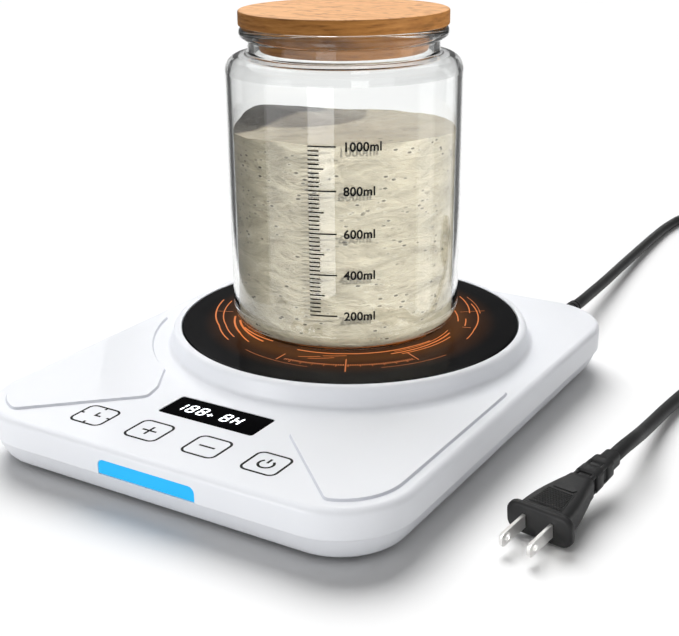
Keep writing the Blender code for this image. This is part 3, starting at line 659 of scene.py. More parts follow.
def make_cord():
    rear = [Vector(p) * MM for p in REAR_ROUTE_MM]
    front = [Vector(p) * MM for p in FRONT_ROUTE_MM]
    coil = coil_points()
    path = smooth_path(rear + coil + front, 5)
    length = sum((b - a).length for a, b in zip(path, path[1:]))
    curve = bpy.data.curves.new("mains_cord", "CURVE")
    curve.dimensions = "3D"
    curve.bevel_depth = CORD_D / 2
    curve.bevel_resolution = 6
    curve.use_fill_caps = True
    spline = curve.splines.new("POLY")
    spline.points.add(len(path) - 1)
    for point, co in zip(spline.points, path):
        point.co = (*co, 1.0)
    curve.materials.append(MATS["cord"])
    obj = bpy.data.objects.new("mains_cord", curve)
    bpy.context.scene.collection.objects.link(obj)
    settle(obj, "base", "cord_jacket", "cord_run_rear", "cord_coil", "cord_run_front")
    print("cord length", length)
    return obj, length


# ---- stage -----------------------------------------------------------------
def make_stage():
    bm = bmesh.new()
    bmesh.ops.create_grid(bm, x_segments=2, y_segments=2, size=6000)
    floor = make_object("floor", bm, None)
    n = Nodes("pale_floor")
    soft = n.noise(n.coords(), 3, 2)
    n.link(n.mix(soft, (0.93, 0.93, 0.93), (0.95, 0.95, 0.95)), n.shader.inputs["Base Color"])
    n.set(Roughness=0.9, Specular_IOR_Level=0.0)
    floor.data.materials.append(n.mat)
    floor.location.z = -0.0002

    world = bpy.data.worlds.new("studio")
    world.use_nodes = True
    sky = world.node_tree.nodes["Background"]
    sky.inputs["Color"].default_value = (1.0, 1.0, 1.0, 1)
    sky.inputs["Strength"].default_value = 0.25
    bpy.context.scene.world = world
    view = bpy.context.scene.view_settings
    view.view_transform = "Standard"
    view.look = "None"


def make_sun(name, travel, energy, angle, pieces=(), blockers=()):
    """A wide sun; it can be kept to some pieces, and to the shadows of some."""
    data = bpy.data.lights.new(name, "SUN")
    data.energy = energy
    data.angle = math.radians(angle)
    lamp = bpy.data.objects.new(name, data)
    lamp.rotation_euler = Vector(travel).to_track_quat("-Z", "Y").to_euler()
    bpy.context.scene.collection.objects.link(lamp)
    if pieces:
        lamp.light_linking.receiver_collection = grouped(name + "_lit", pieces)
    if blockers:
        lamp.light_linking.blocker_collection = grouped(name + "_shaded", blockers)


def grouped(name, pieces):
    group = bpy.data.collections.new(name)
    for piece in pieces:
        group.objects.link(piece)
    return group


def make_panel(name, azimuth, reach, width, height, power, pieces):
    """An upright soft box beside the jar, facing it; azimuth in degrees from -Y towards +X."""
    data = bpy.data.lights.new(name, "AREA")
    data.shape = "RECTANGLE"
    data.size, data.size_y = width, height
    data.energy = power
    lamp = bpy.data.objects.new(name, data)
    a = math.radians(azimuth)
    lamp.location = (JAR_AT[0] * MM + reach * math.sin(a), JAR_AT[1] * MM - reach * math.cos(a), height / 2 + 0.002)
    lamp.rotation_euler = Vector((-math.sin(a), math.cos(a), 0)).to_track_quat("-Z", "Y").to_euler()
    lamp.visible_camera = False
    bpy.context.scene.collection.objects.link(lamp)
    lamp.light_linking.receiver_collection = grouped(name + "_lit", pieces)


def make_cards():
    """Grey cards beside the jar and a bright ceiling, seen only in reflections and through the glass."""
    right, back = Vector((0.853, 0.522, 0)), Vector((-0.522, 0.853, 0))
    middle = Vector((*JAR_AT, 0))
    grey = plastic("grey_card", (0.20, 0.20, 0.20), 0.8, specular=0.0)
    for name, side, start in (("left_card", -1, -56), ("right_card", 1, 35)):
        near = middle + right * side * 120 + back * start
        far = middle + right * side * 150 + back * 240
        add_card(name, [(p.x, p.y, z) for p, z in [(near, 30), (far, 30), (far, 240), (near, 240)]], grey)
    bright = lit("ceiling_glow", (1.0, 1.0, 1.0), 0.9, share=0.0)
    add_card("ceiling", [(x, y, 1000) for x, y in [(-1200, -1200), (1200, -1200), (1200, 1200), (-1200, 1200)]],
             bright)
    ends = [middle + right * reach + back * 900 for reach in (-1500, 1500)]
    add_card("backdrop", [(p.x, p.y, z) for p, z in [(ends[0], 60), (ends[1], 60), (ends[1], 1500), (ends[0], 1500)]],
             bright).visible_glossy = False


def add_card(name, corners, mat):
    bm = bmesh.new()
    bm.faces.new([bm.verts.new(corner) for corner in corners])
    card = make_object(name, bm, mat)
    card.visible_camera = False
    card.visible_shadow = False
    card.visible_diffuse = False
    return card


def light_pieces():
    """The key light, and fill lights that reach only the base, or only the jar and its lid."""
    objects = bpy.context.scene.objects
    base = [objects[name] for name in ("upper_casing", "lower_casing", "light_strip", "plug_housing",
                                       "blade_1", "blade_2", "mains_cord", "cord_boot")]
    lower = [objects["lower_casing"]]
    blades = [objects["blade_1"], objects["blade_2"]]
    upper = [piece for piece in base if piece not in lower]
    milk = [objects[name] for name in ("cultured_milk", "jar_scale_ticks", "jar_scale_numbers")]
    wood = [objects[name] for name in ("bamboo_lid", "bamboo_plug")]
    make_sun("key", (0.42, -0.50, -0.75), 3.45, 44, blockers=base)
    make_sun("front_fill", (0.38, 0.92, -0.06), 2.05, 20, upper)
    make_sun("right_fill", (-0.97, 0.15, -0.10), 0.45, 20, upper)
    make_sun("deck_fill", (0.1, 0.3, -1.0), 0.45, 60, upper)
    make_sun("low_fill", (-0.10, 0.97, -0.16), 1.2, 20, lower)
    make_sun("blade_fill", (-0.75, 0.35, -0.55), 8.0, 30, blades)
    make_sun("milk_fill", (-0.72, 0.30, -0.62), 6.3, 1.5, milk)
    make_sun("milk_left", (0.37, 0.93, -0.30), 1.2, 40, milk)
    make_sun("wood_fill", (-0.98, -0.10, -0.12), 2.2, 20, wood)
    glass = [objects["jar"]]
    make_panel("front_panel", 12, 0.19, 0.072, 0.150, 0.075, glass)
    make_panel("right_panel", 105, 0.19, 0.060, 0.150, 0.02, glass)


# ---- flat fills and strokes --------------------------------------------------
def plane_fill(bm, loops):
    """Fill between closed vertex loops of one plane; loops inside the first are holes."""
    edges = []
    for loop in loops:
        for a, b in zip(loop, loop[1:] + loop[:1]):
            edges.append(bm.edges.get((a, b)) or bm.edges.new((a, b)))
    bmesh.ops.triangle_fill(bm, use_beauty=True, edges=edges)


def add_loop(bm, points):
    return [bm.verts.new(point) for point in points]


def bridge(bm, low, high):
    count = len(low)
    for i in range(count):
        j = (i + 1) % count
        bm.faces.new((low[i], low[j], high[j], high[i]))


def stroke(bm, points, width, z, closed=False):
    """A flat printed line of even width through (x, y) points."""
    line = [Vector(p) for p in points]
    count = len(line)
    left, right = [], []
    for i, here in enumerate(line):
        before = line[i - 1] if closed or i else here
        after = line[(i + 1) % count] if closed or i + 1 < count else here
        d1 = (here - before).normalized() if here != before else (after - here).normalized()
        d2 = (after - here).normalized() if after != here else d1
        n1, n2 = Vector((-d1.y, d1.x)), Vector((-d2.y, d2.x))
        side = (n1 + n2).normalized()
        side *= width / 2 / max(side.dot(n1), 0.5)
        left.append(bm.verts.new((*(here + side), z)))
        right.append(bm.verts.new((*(here - side), z)))
    for i in range(count if closed else count - 1):
        j = (i + 1) % count
        bm.faces.new((left[i], right[i], right[j], left[j]))


# ---- casings ---------------------------------------------------------------
def base_loop(inset, z):
    return rounded_rect(BASE_W - 2 * inset, BASE_L - 2 * inset, CORNER_R - inset, z, 14)


def wing_outline(side):
    """Raised field beside the ring, counter-clockwise; side is +1 on the right, -1 on the left."""
    corners = [(102.5 * math.cos(math.radians(a)), PLATE_Y + 102.5 * math.sin(math.radians(a)), 0)
               for a in range(-17, -60, -3)]
    corners += [(41.8, -74.5, 5), (38.8, -86, 5), (83.2, -127.9, 4)]
    corners += [(75.5 + 28.5 * math.cos(math.radians(a)), -100.5 + 28.5 * math.sin(math.radians(a)), 0)
                for a in range(-66, 1, 6)]
    corners += [(104, -2, 0), (103.4, 1.4, 0), (101.6, 3.2, 0), (99.6, 3.2, 0)]
    points = round_corners(corners)
    if side < 0:
        points = [Vector((-p.x, p.y)) for p in reversed(points)]
    return points


def make_wing(bm, side):
    """The soft step up to a wing, and its flat top. Returns the foot loop."""
    outline = wing_outline(side)
    loops = []
    for share in (0, 0.15, 0.35, 0.5, 0.65, 0.85, 1.0):
        ring = inset_outline(outline, 0.9 * share)
        loops.append(add_loop(bm, [(p.x, p.y, DECK_Z + 1.2 * smoothstep(share)) for p in ring]))
    for low, high in zip(loops, loops[1:]):
        bridge(bm, low, high)
    plane_fill(bm, [loops[-1]])
    return loops[0]


RING_PROFILE = [(95.6, DECK_Z), (94.8, 27.16), (94.0, 27.42), (93.4, 27.9), (93.0, 28.6), (92.75, 29.6),
                (92.3, 32.0), (91.9, 34.1), (91.7, 34.8), (91.3, 35.5), (90.7, 36.0), (89.9, 36.3),
                (89.1, 36.4), (88.1, 36.4), (87.85, 36.2), (87.8, 31.3), (80.0, 31.3), (80.0, 29.3),
                (89.0, 29.3), (89.0, DECK_Z - WALL)]


def make_top_cover():
    bm = bmesh.new()
    edge = [(WALL, PARTING_Z), (0.35, PARTING_Z), (0.1, 13.8), (0, 14.05), (0, 23.9)]
    for x, z in arc(3.2, 23.9, 3.2, 180, 90, 9)[1:]:
        edge.append((x, z))
    outer = [add_loop(bm, base_loop(inset, z)) for inset, z in edge]
    for low, high in zip(outer, outer[1:]):
        bridge(bm, low, high)
    ring = [add_loop(bm, circle(r, z, 160, (0, PLATE_Y))) for r, z in RING_PROFILE]
    for low, high in zip(ring, ring[1:]):
        bridge(bm, low, high)
    wings = [make_wing(bm, side) for side in (-1, 1)]
    plane_fill(bm, [outer[-1], ring[0], *wings])
    inner = [add_loop(bm, base_loop(inset, z))
             for inset, z in [(WALL, 22.4), (WALL + 1.2, 24.3), (WALL + 3, DECK_Z - WALL)]]
    bridge(bm, outer[0], inner[0])
    for low, high in zip(inner, inner[1:]):
        bridge(bm, low, high)
    plane_fill(bm, [inner[-1], ring[-1]])
    cover = make_object("upper_casing", bm, MATS["white"])

    window = extruded("window_cut", rounded_rect(52.2, 19.2, 1.6, 0, 5, (0, WINDOW_Y)), 20, 30)
    boolean(cover, window)
    boolean(cover, light_shape("light_cut", -2.0, 6.0, 0.0, PARTING_Z - 1))
    boolean(cover, cord_bore("cover_cord_cut"))

    bm = bmesh.new()
    bm.from_mesh(cover.data)
    bmesh.ops.scale(bm, vec=(1 / MM,) * 3, verts=bm.verts)
    for sx in (-1, 1):
        for sy in (-1, 1):
            turned("", [(1.8, 8.3), (4, 8.3), (4, 25.6), (1.8, 25.6)], None, (sx * 90, sy * 116), 24,
                   closed=True, bm=bm)
    bpy.data.objects.remove(cover, do_unlink=True)
    cover = make_object("upper_casing", bm, MATS["white"], 32)
    # The wing step faces take the darker white as painted shade.
    cover.data.materials.append(MATS["white_step_shade"])
    for face in cover.data.polygons:
        x, y, z = (mm(value) for value in face.center)
        if DECK_Z + 0.05 < z < DECK_Z + 1.15 and math.hypot(x, y - PLATE_Y) > 96.5 and abs(x) < 104.5:
            face.material_index = 1
    weighted(cover)
    return settle(cover, "base", "white_casing", "top_cover")


def extruded(name, outline, low, high, mat=None):
    """A solid from a flat (x, y) outline."""
    bm = bmesh.new()
    skin(bm, [[(p[0], p[1], z) for p in outline] for z in (low, high)])
    return make_object(name, bm, mat)


def light_shape(name, y_low, y_high, shrink, z_low, mat=None):
    """The light bar's outline, square at the parting line and rounded above, through the front wall."""
    half, top = 26.0 - shrink, 21.0 - shrink
    outline = [(-half, z_low), (half, z_low)]
    outline += [(half - 3 + 3 * math.cos(a), top - 3 + 3 * math.sin(a))
                for a in [math.radians(k * 15) for k in range(7)]]
    outline += [(-half + 3 - 3 * math.sin(a), top - 3 + 3 * math.cos(a))
                for a in [math.radians(k * 15) for k in range(7)]]
    bm = bmesh.new()
    skin(bm, [[(x, FRONT_Y + y, z) for x, z in outline] for y in (y_low, y_high)])
    return make_object(name, bm, mat)


def cord_bore(name):
    bm = bmesh.new()
    skin(bm, [[(74 + 4.3 * math.cos(a), y, PARTING_Z + 4.3 * math.sin(a))
               for a in [2 * math.pi * k / 48 for k in range(48)]] for y in (124, 141)])
    return make_object(name, bm, None)


def make_bottom_cover():
    bm = bmesh.new()
    outside = [(9.5, 2.0), (8.4, 2.08), (7.4, 2.35), (6.5, 2.8), (5.7, 3.4), (4.9, 4.3), (4.2, 5.3),
               (3.5, 6.6), (2.8, 8.1), (2.1, 9.9), (1.5, 11.6), (1.0, 12.9), (0.85, 13.2), (1.05, 13.4)]
    inside = [(3.0, 13.4), (3.9, 10.0), (5.4, 7.0), (8.6, 4.4)]
    loops = [add_loop(bm, base_loop(inset, z)) for inset, z in outside + inside]
    for low, high in zip(loops, loops[1:]):
        bridge(bm, low, high)
    under, over = [loops[0]], [loops[-1]]
    for sx in (-1, 1):
        for sy in (-1, 1):
            foot = [add_loop(bm, circle(r, z, 48, (sx * 76, sy * 103)))
                    for r, z in [(7.5, 2.0), (7.3, 2.15), (7.3, 2.9)]]
            bridge(bm, foot[0], foot[1])
            bridge(bm, foot[1], foot[2])
            bm.faces.new(foot[2])
            under.append(foot[0])
            bore = [(3.7, 2.0), (3.4, 2.25), (3.4, 5.0), (1.8, 5.0), (1.8, 8.0), (6.0, 8.0), (6.0, 4.4)]
            post = [add_loop(bm, circle(r, z, 36, (sx * 90, sy * 116))) for r, z in bore]
            for low, high in zip(post, post[1:]):
                bridge(bm, low, high)
            under.append(post[0])
            over.append(post[-1])
    for side in (-1, 1):
        for k in range(5):
            slot = [add_loop(bm, rounded_rect(34 + 2 * g, 2.6 + 2 * g, 1.25 + g, z, 5, (side * 40, 14 + 9 * k)))
                    for g, z in [(0.25, 2.0), (0, 2.2), (0, 4.4)]]
            bridge(bm, slot[0], slot[1])
            bridge(bm, slot[1], slot[2])
            under.append(slot[0])
            over.append(slot[-1])
    plane_fill(bm, under)
    plane_fill(bm, over)
    cover = make_object("lower_casing", bm, MATS["white"], 32)
    boolean(cover, cord_bore("floor_cord_cut"))
    cover.data.shade_smooth()
    cover.data.set_sharp_from_angle(angle=math.radians(32))
    weighted(cover)
    return settle(cover, "base", "white_casing", "bottom_cover")


def make_feet_and_screws():
    places = [(-1, -1), (1, -1), (1, 1), (-1, 1)]
    for i, (sx, sy) in enumerate(places, start=1):
        profile = [(0.01, 0.35), (4.6, 0.35), (4.9, 0.05), (5.3, 0), (6.2, 0), (6.7, 0.18), (7.0, 0.6),
                   (7.0, 2.5), (0.01, 2.5)]
        foot = turned("rubber_foot_%d" % i, profile, MATS["rubber"], (sx * 76, sy * 103), 56)
        settle(foot, "base", "foot_rubber", "foot_%d" % i)
        make_screw("case_screw", i, (sx * 90, sy * 116))


def make_screw(name, i, centre):
    head = [(2.0, 2.45), (2.6, 2.6), (2.95, 3.0), (3.0, 3.4), (3.0, 4.7), (1.4, 4.71), (1.4, 17.0), (0.5, 18.4)]
    screw = turned("%s_%d_cross" % (name, i), head, MATS["steel"], centre, 40)
    for angle in (20, 110):
        a = math.radians(angle)
        along, across = Vector((math.cos(a), math.sin(a))), Vector((-math.sin(a), math.cos(a)))
        outline = [Vector(centre) + along * u + across * v
                   for u, v in [(-1.7, -0.35), (1.7, -0.35), (1.7, 0.35), (-1.7, 0.35)]]
        boolean(screw, extruded("recess", outline, 1.5, 3.7))
    screw.data.shade_smooth()
    screw.data.set_sharp_from_angle(angle=math.radians(32))
    settle(screw, "base", "steel", "%s_%d" % (name, i))


# ---- heating plate ---------------------------------------------------------
def make_plate():
    profile = [(87.0, 32.4), (87.5, 32.9), (87.5, 35.7), (87.4, 36.0), (87.15, 36.25), (86.8, 36.37),
               (86.3, PLATE_TOP)]
    plate = turned("heating_plate", profile, MATS["plate"], (0, PLATE_Y), 160)
    weighted(plate)
    settle(plate, "base", "plate_glass", "glass_plate")


# lit marks of the heat zone: start radius and angle, end radius and angle, width; angles from +X
ZONE_ARCS = [
    (75, -172, 68.5, -140, 1.0), (68.5, -140, 68.5, -122, 0.9), (70, -172, 65, -140, 0.8),
    (65, -140, 64.5, -124, 0.8), (60.5, -152, 60, -128, 1.3), (60, -128, 61, -115, 1.0),
    (57.5, -146, 55, -111, 1.5), (56, -135, 51, -108, 1.1), (52, -89, 51, -61, 1.2),
    (51, -61, 51.5, -24, 1.2), (51.5, -24, 52.5, -10, 1.0), (55, -38, 55.5, 6, 1.1),
    (53, -35, 53.5, 9, 0.6), (57, -33, 58, 1, 0.8), (59.5, -84, 56, -74, 0.6),
    (60, -79, 56.5, -67, 0.6), (55, -73, 53.5, -61, 0.6), (68.5, 48, 66, 14, 0.8),
    (66, 14, 66.5, 2, 0.7), (68.5, 59, 63.5, 36, 0.8), (56.5, 41, 56.5, 24, 0.8), (60.5, 28, 60.5, 18, 0.8)]
ZONE_FINE_ARCS = [
    (46.5, -106, 45, -91, 0.5), (68, -108, 70, -76, 0.35), (70, -47, 70.5, -18, 0.35),
    (71.5, 57, 69, 35, 0.5), (64.5, -88, 65.5, -61, 0.4), (65.5, -61, 66, -31, 0.4)]
ZONE_RAYS = [(59.5, 67.5, -91, 0.6), (58, 73.5, -61, 0.6), (57, 67.5, -30, 0.6), (59.5, 64, 16, 0.5),
             (59, 72, 38, 0.35), (63, 72, -158, 0.35)]


def make_zone_marks():
    """Lit heat-zone dial under the glass: broken arcs, a tick scale and cross hairs."""
    z = PLATE_TOP + PRINT_LIFT
    for name, look, arcs in [("zone_arcs", "amber", ZONE_ARCS), ("zone_scale", "amber_dim", ZONE_FINE_ARCS)]:
        bm = bmesh.new()
        for r0, a0, r1, a1, width in arcs:
            steps = max(3, int(abs(a1 - a0) / 1.5))
            line = [around(r0 + (r1 - r0) * k / steps, a0 + (a1 - a0) * k / steps) for k in range(steps + 1)]
            stroke(bm, line, width * 0.75, z)
        if look == "amber_dim":
            for angle in range(-88, -31, 1):
                stroke(bm, [around(64.4, angle), around(67.5 if angle % 5 == 0 else 66, angle)], 0.42, z)
            for inner, outer, angle, width in ZONE_RAYS:
                stroke(bm, [around(inner, angle), around(outer, angle)], width, z)
        settle(make_object(name, bm, MATS[look]), "base", "plate_glass")


def around(radius, angle):
    """A point of the heating plate, from its centre."""
    a = math.radians(angle)
    return radius * math.cos(a), PLATE_Y + radius * math.sin(a)


# ---- control panel ---------------------------------------------------------
WINDOW_Y = mm(WINDOW_LOW.y + WINDOW_HIGH.y) / 2
KEY_XS = [-47, -15.7, 15.7, 46.4]
KEY_Y = -113
WINDOW_HALF = (25.8, 9.3)


def make_display():
    lens = bmesh.new()
    for half_w, half_l, radius, low, high in [(27.2, 10.7, 2.0, 23.3, 24.6), (*WINDOW_HALF, 1.3, 24.6, DECK_Z - 0.1)]:
        rows = [(0.15, low), (0, low + 0.15), (0, high - 0.2), (0.06, high - 0.06), (0.2, high)]
        skin(lens, [rounded_rect(2 * (half_w - g), 2 * (half_l - g), radius, z, 5, (0, WINDOW_Y))
                    for g, z in rows])
    window = make_object("display_glass", lens, MATS["window"])
    settle(window, "base", "window", "display_window")

    digits = bmesh.new()
    for mark, offset in DIGIT_PLACES:
        add_digit(digits, mark, offset - WINDOW_HALF[0])
    x, y, z = 23.2 - WINDOW_HALF[0], WINDOW_Y - 1.3, DECK_Z - 0.1 + PRINT_LIFT
    stroke(digits, [(x - 1.5, y), (x + 1.5, y)], 0.8, z)
    stroke(digits, [(x, y - 1.5), (x, y + 1.5)], 0.8, z + PRINT_LIFT / 2)
    settle(make_object("display_digits", digits, MATS["digit"]), "base", "window")


# each sign with the distance of its left side from the window's left edge
DIGIT_PLACES = [("1", 4.0), ("8", 10.0), ("8", 16.0), ("8", 29.1), ("H", 35.2)]
SEGMENTS = {"1": "bc", "8": "abcdefg", "H": "bcefg"}


def add_digit(bm, mark, x):
    """One slightly slanted seven-segment sign, 4.3 wide and 7.8 high, its left side at x."""
    thick, gap = 1.05, 0.1
    wide, high = 4.3 - thick, 7.8 - thick
    half = high / 2
    ends = {"a": ((0, high), (wide, high)), "b": ((wide, half), (wide, high)), "c": ((wide, 0), (wide, half)),
            "d": ((0, 0), (wide, 0)), "e": ((0, 0), (0, half)), "f": ((0, half), (0, high)),
            "g": ((0, half), (wide, half))}
    for name in SEGMENTS[mark]:
        start, end = Vector(ends[name][0]), Vector(ends[name][1])
        along = (end - start).normalized()
        across = Vector((-along.y, along.x)) * thick / 2
        start += along * gap
        end -= along * gap
        cut = along * thick / 2
        outline = [start, start + cut - across, end - cut - across, end, end - cut + across, start + cut + across]
        bm.faces.new([bm.verts.new((x + thick / 2 + p.x + 0.06 * p.y, WINDOW_Y - half + p.y,
                                    DECK_Z - 0.1 + PRINT_LIFT)) for p in outline])


def make_keys():
    z = DECK_Z + PRINT_LIFT
    line, half = 1.2, 8.45
    bm = bmesh.new()
    for x in KEY_XS:
        stroke(bm, [p[:2] for p in rounded_rect(2 * half, 2 * half, 3.3, 0, 8, (x, KEY_Y))], line, z, True)
    clock, plus, minus, power = KEY_XS
    for dx, dy in [(1, 0), (-1, 0), (0, 1), (0, -1)]:
        ends = [(clock + dx * reach, KEY_Y + dy * reach) for reach in (half, half - 2.0)]
        stroke(bm, ends, line, z)
    stroke(bm, [(clock, KEY_Y + 3.4), (clock, KEY_Y), (clock + 3.0, KEY_Y)], line, z)
    stroke(bm, [(plus - 3.8, KEY_Y), (plus + 3.8, KEY_Y)], line, z)
    stroke(bm, [(plus, KEY_Y - 3.8), (plus, KEY_Y + 3.8)], line, z + 0.005)
    stroke(bm, [(minus - 4.1, KEY_Y), (minus + 4.1, KEY_Y)], line, z)
    ring = [(power + 3.45 * math.sin(math.radians(a)), KEY_Y - 0.4 + 3.45 * math.cos(math.radians(a)))
            for a in range(38, 323, 8)]
    stroke(bm, ring, line, z)
    stroke(bm, [(power, KEY_Y + 4.2), (power, KEY_Y + 0.3)], line, z)
    settle(make_object("key_prints", bm, MATS["ink"]), "base", "component_black")


def make_light_bar():
    bar = light_shape("light_strip", 0.15, 3.6, 0.15, 14.2, MATS["light"])
    change = bar.modifiers.new("soften", "BEVEL")
    change.width = 0.25 * MM
    change.segments = 3
    change.limit_method = "ANGLE"
    settle(bar, "base", "light_lens", "light_bar")


# ---- jar and its contents --------------------------------------------------
def soften(profile, reach, rounds=2):
    """Round a profile's corners by cutting them, keeping long stretches straight."""
    points = [Vector(profile[0])]
    for a, b in zip(profile, profile[1:]):
        a, b = Vector(a), Vector(b)
        if (b - a).length > 2.5 * reach:
            way = (b - a).normalized() * reach
            points += [a + way, b - way]
        points.append(b)
    for _ in range(rounds):
        cut = [points[0]]
        for a, b in zip(points, points[1:]):
            cut += [a.lerp(b, 0.25), a.lerp(b, 0.75)]
        points = cut + [points[-1]]
    return [(p.x, p.y) for p in points]


JAR_OUTSIDE = [(0.01, 1.5), (30, 1.4), (40, 0.9), (43.5, 0), (46, 0.1), (50.5, 0.9), (54.2, 2.9), (56.8, 6.2),
               (58, 11), (58, 130.5), (57.4, 133), (55.8, 135.1), (53.2, 136.5), (47.8, 137.5), (46.7, 138.3),
               (46.5, 143.9), (48.4, 144.2), (50.4, 145.4), (51, 147.2), (50.6, 149), (49.2, 150.2), (47.6, 150.4)]
JAR_INSIDE = [(45.2, 150.2), (44.2, 149), (44.1, 137.6), (44.3, 135.7), (51.6, 134.4), (54.4, 132.4),
              (55.6, 129.4), (55.6, 9), (54.8, 5.6), (52, 3.4), (46, 2.6), (38, 2.6), (0.01, 2.6)]
FILL_R = 55.0
FILL_TOP = 101.4


def make_jar():
    profile = [(r, z + JAR_Z) for r, z in soften(JAR_OUTSIDE + JAR_INSIDE, 1.6)]
    jar = turned("jar", profile, MATS["glass"], JAR_AT, 192, angle=60)
    jar.visible_shadow = False
    settle(jar, "jar", "clear_glass", "jar_glass")


def make_fill():
    """The cultured milk: a pitted body just inside the glass, with an uneven top."""
    bm = bmesh.new()
    segs = 180
    wall = [(0.01, 2.8), (36, 2.85), (46, 2.9), (51.4, 3.7), (54.2, 5.9), (FILL_R, 9.3)]
    loops = []
    for r, z in wall + [(FILL_R, z) for z in range(12, 97, 3)]:
        loops.append(add_loop(bm, circle(r, z + JAR_Z, segs, JAR_AT)))
    for share in (0.0, 0.4, 0.8, 1.0):
        ring = []
        for x, y, _ in circle(FILL_R, 0, segs, JAR_AT):
            top = fill_height(x, y)
            ring.append((x, y, JAR_Z + 97 + (top - 97) * share))
        loops.append(add_loop(bm, ring))
    for r in (54.2, 53, 50, 46, 41, 36, 30, 24, 18, 12, 6, 2):
        loops.append(add_loop(bm, [(x, y, JAR_Z + fill_height(x, y) - 0.5 * smoothstep((FILL_R - r) / 3))
                                   for x, y, _ in circle(r, 0, segs, JAR_AT)]))
    for low, high in zip(loops, loops[1:]):
        bridge(bm, low, high)
    bm.faces.new(loops[0])
    bm.faces.new(loops[-1])
    for vert in bm.verts:
        out = Vector((vert.co.x - JAR_AT[0], vert.co.y - JAR_AT[1], 0))
        if out.length > 50 and vert.co.z < JAR_Z + 96:
            grain = noise.noise(Vector((vert.co.x * 0.06, vert.co.y * 0.06, vert.co.z * 0.16)))
            vert.co -= out.normalized() * (0.15 + 0.15 * grain)
    fill = make_object("cultured_milk", bm, MATS["culture"], 50)
    # Upward faces take the top copy, darkened as painted shade.
    fill.data.materials.append(MATS["culture_top_painted_shade"])
    for face in fill.data.polygons:
        if face.normal.z > 0.6:
            face.material_index = 1
    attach(fill, "jar")


def fill_height(x, y):
    """Height of the culture's top above the jar's foot: it clings higher to the back left of the glass."""
    dx, dy = x - JAR_AT[0], y - JAR_AT[1]
    across, back = 0.853 * dx + 0.522 * dy, 0.853 * dy - 0.522 * dx
    waves = 1.1 * noise.noise(Vector((x * 0.032, y * 0.032, 1.7)))
    waves += 0.4 * noise.noise(Vector((x * 0.11, y * 0.11, 4.1)))
    climb = 5.5 * math.exp(-((across + 42) ** 2 + (back - 30) ** 2) / 520)
    return FILL_TOP - 0.03 * back + climb + waves


def on_jar(angle, height, lift):
    """A point of the jar's wall, angle in degrees from the front towards +X, height above the plate."""
    a = math.radians(angle)
    reach = JAR_R + lift
    return JAR_AT[0] + reach * math.sin(a), JAR_AT[1] - reach * math.cos(a), PLATE_TOP + height


def wall_bar(bm, start, end, height, thick):
    """A printed tick on the jar, from one angle to another."""
    steps = max(2, int(end - start))
    previous = None
    for k in range(steps + 1):
        angle = start + (end - start) * k / steps
        pair = [bm.verts.new(on_jar(angle, height + side * thick / 2, PRINT_LIFT)) for side in (-1, 1)]
        if previous:
            bm.faces.new((previous[0], pair[0], pair[1], previous[1]))
        previous = pair


SCALE_HEIGHTS = [(200, 21.9), (400, 42.2), (600, 62.2), (800, 82.5), (1000, 103.1)]
SCALE_START = 14.2


def scale_height(volume):
    for (v0, z0), (v1, z1) in zip(SCALE_HEIGHTS, SCALE_HEIGHTS[1:]):
        if volume <= v1:
            return z0 + (z1 - z0) * (volume - v0) / (v1 - v0)
    return SCALE_HEIGHTS[-1][1]


def make_graduation():
    bm = bmesh.new()
    for volume in range(200, 1001, 20):
        height = scale_height(volume)
        if volume % 200 == 0:
            wall_bar(bm, SCALE_START, 27.2, height, 0.75)
        else:
            wall_bar(bm, SCALE_START, SCALE_START + (7.3 if volume % 100 == 0 else 5.2), height, 0.72)
    ticks = make_object("jar_scale_ticks", bm, MATS["ink"])
    settle(ticks, "jar", "component_black")

    bm = bmesh.new()
    for volume, height in SCALE_HEIGHTS:
        add_wall_text(bm, "%dml" % volume, 30.3, height)
    numbers = make_object("jar_scale_numbers", bm, MATS["ink"])
    settle(numbers, "jar", "component_black")


def add_wall_text(bm, words, angle, height):
    curve = bpy.data.curves.new("words", "FONT")
    curve.body = words
    curve.size = 5.9
    curve.space_character = 1.03
    curve.resolution_u = 5
    curve.offset = 0.16
    obj = bpy.data.objects.new("words", curve)
    bpy.context.scene.collection.objects.link(obj)
    bpy.context.view_layer.update()
    graph = bpy.context.evaluated_depsgraph_get()
    mesh = bpy.data.meshes.new_from_object(obj.evaluated_get(graph))
    degree = math.radians(1) * JAR_R
    verts = [bm.verts.new(on_jar(angle + v.co.x / degree, height - 2.1 + v.co.y, PRINT_LIFT))
             for v in mesh.vertices]
    for face in mesh.polygons:
        bm.faces.new([verts[i] for i in face.vertices])
    bpy.data.objects.remove(obj, do_unlink=True)


# ---- lid -------------------------------------------------------------------
def wood_piece(name, profile, slot_node, segs=160):
    obj = turned(name, profile, MATS["lid_face"], JAR_AT, segs)
    obj.data.materials.append(MATS["lid_side"])
    for face in obj.data.polygons:
        if abs(face.normal.z) < 0.75:
            face.material_index = 1
    weighted(obj)
    return settle(obj, "lid", "bamboo", slot_node)


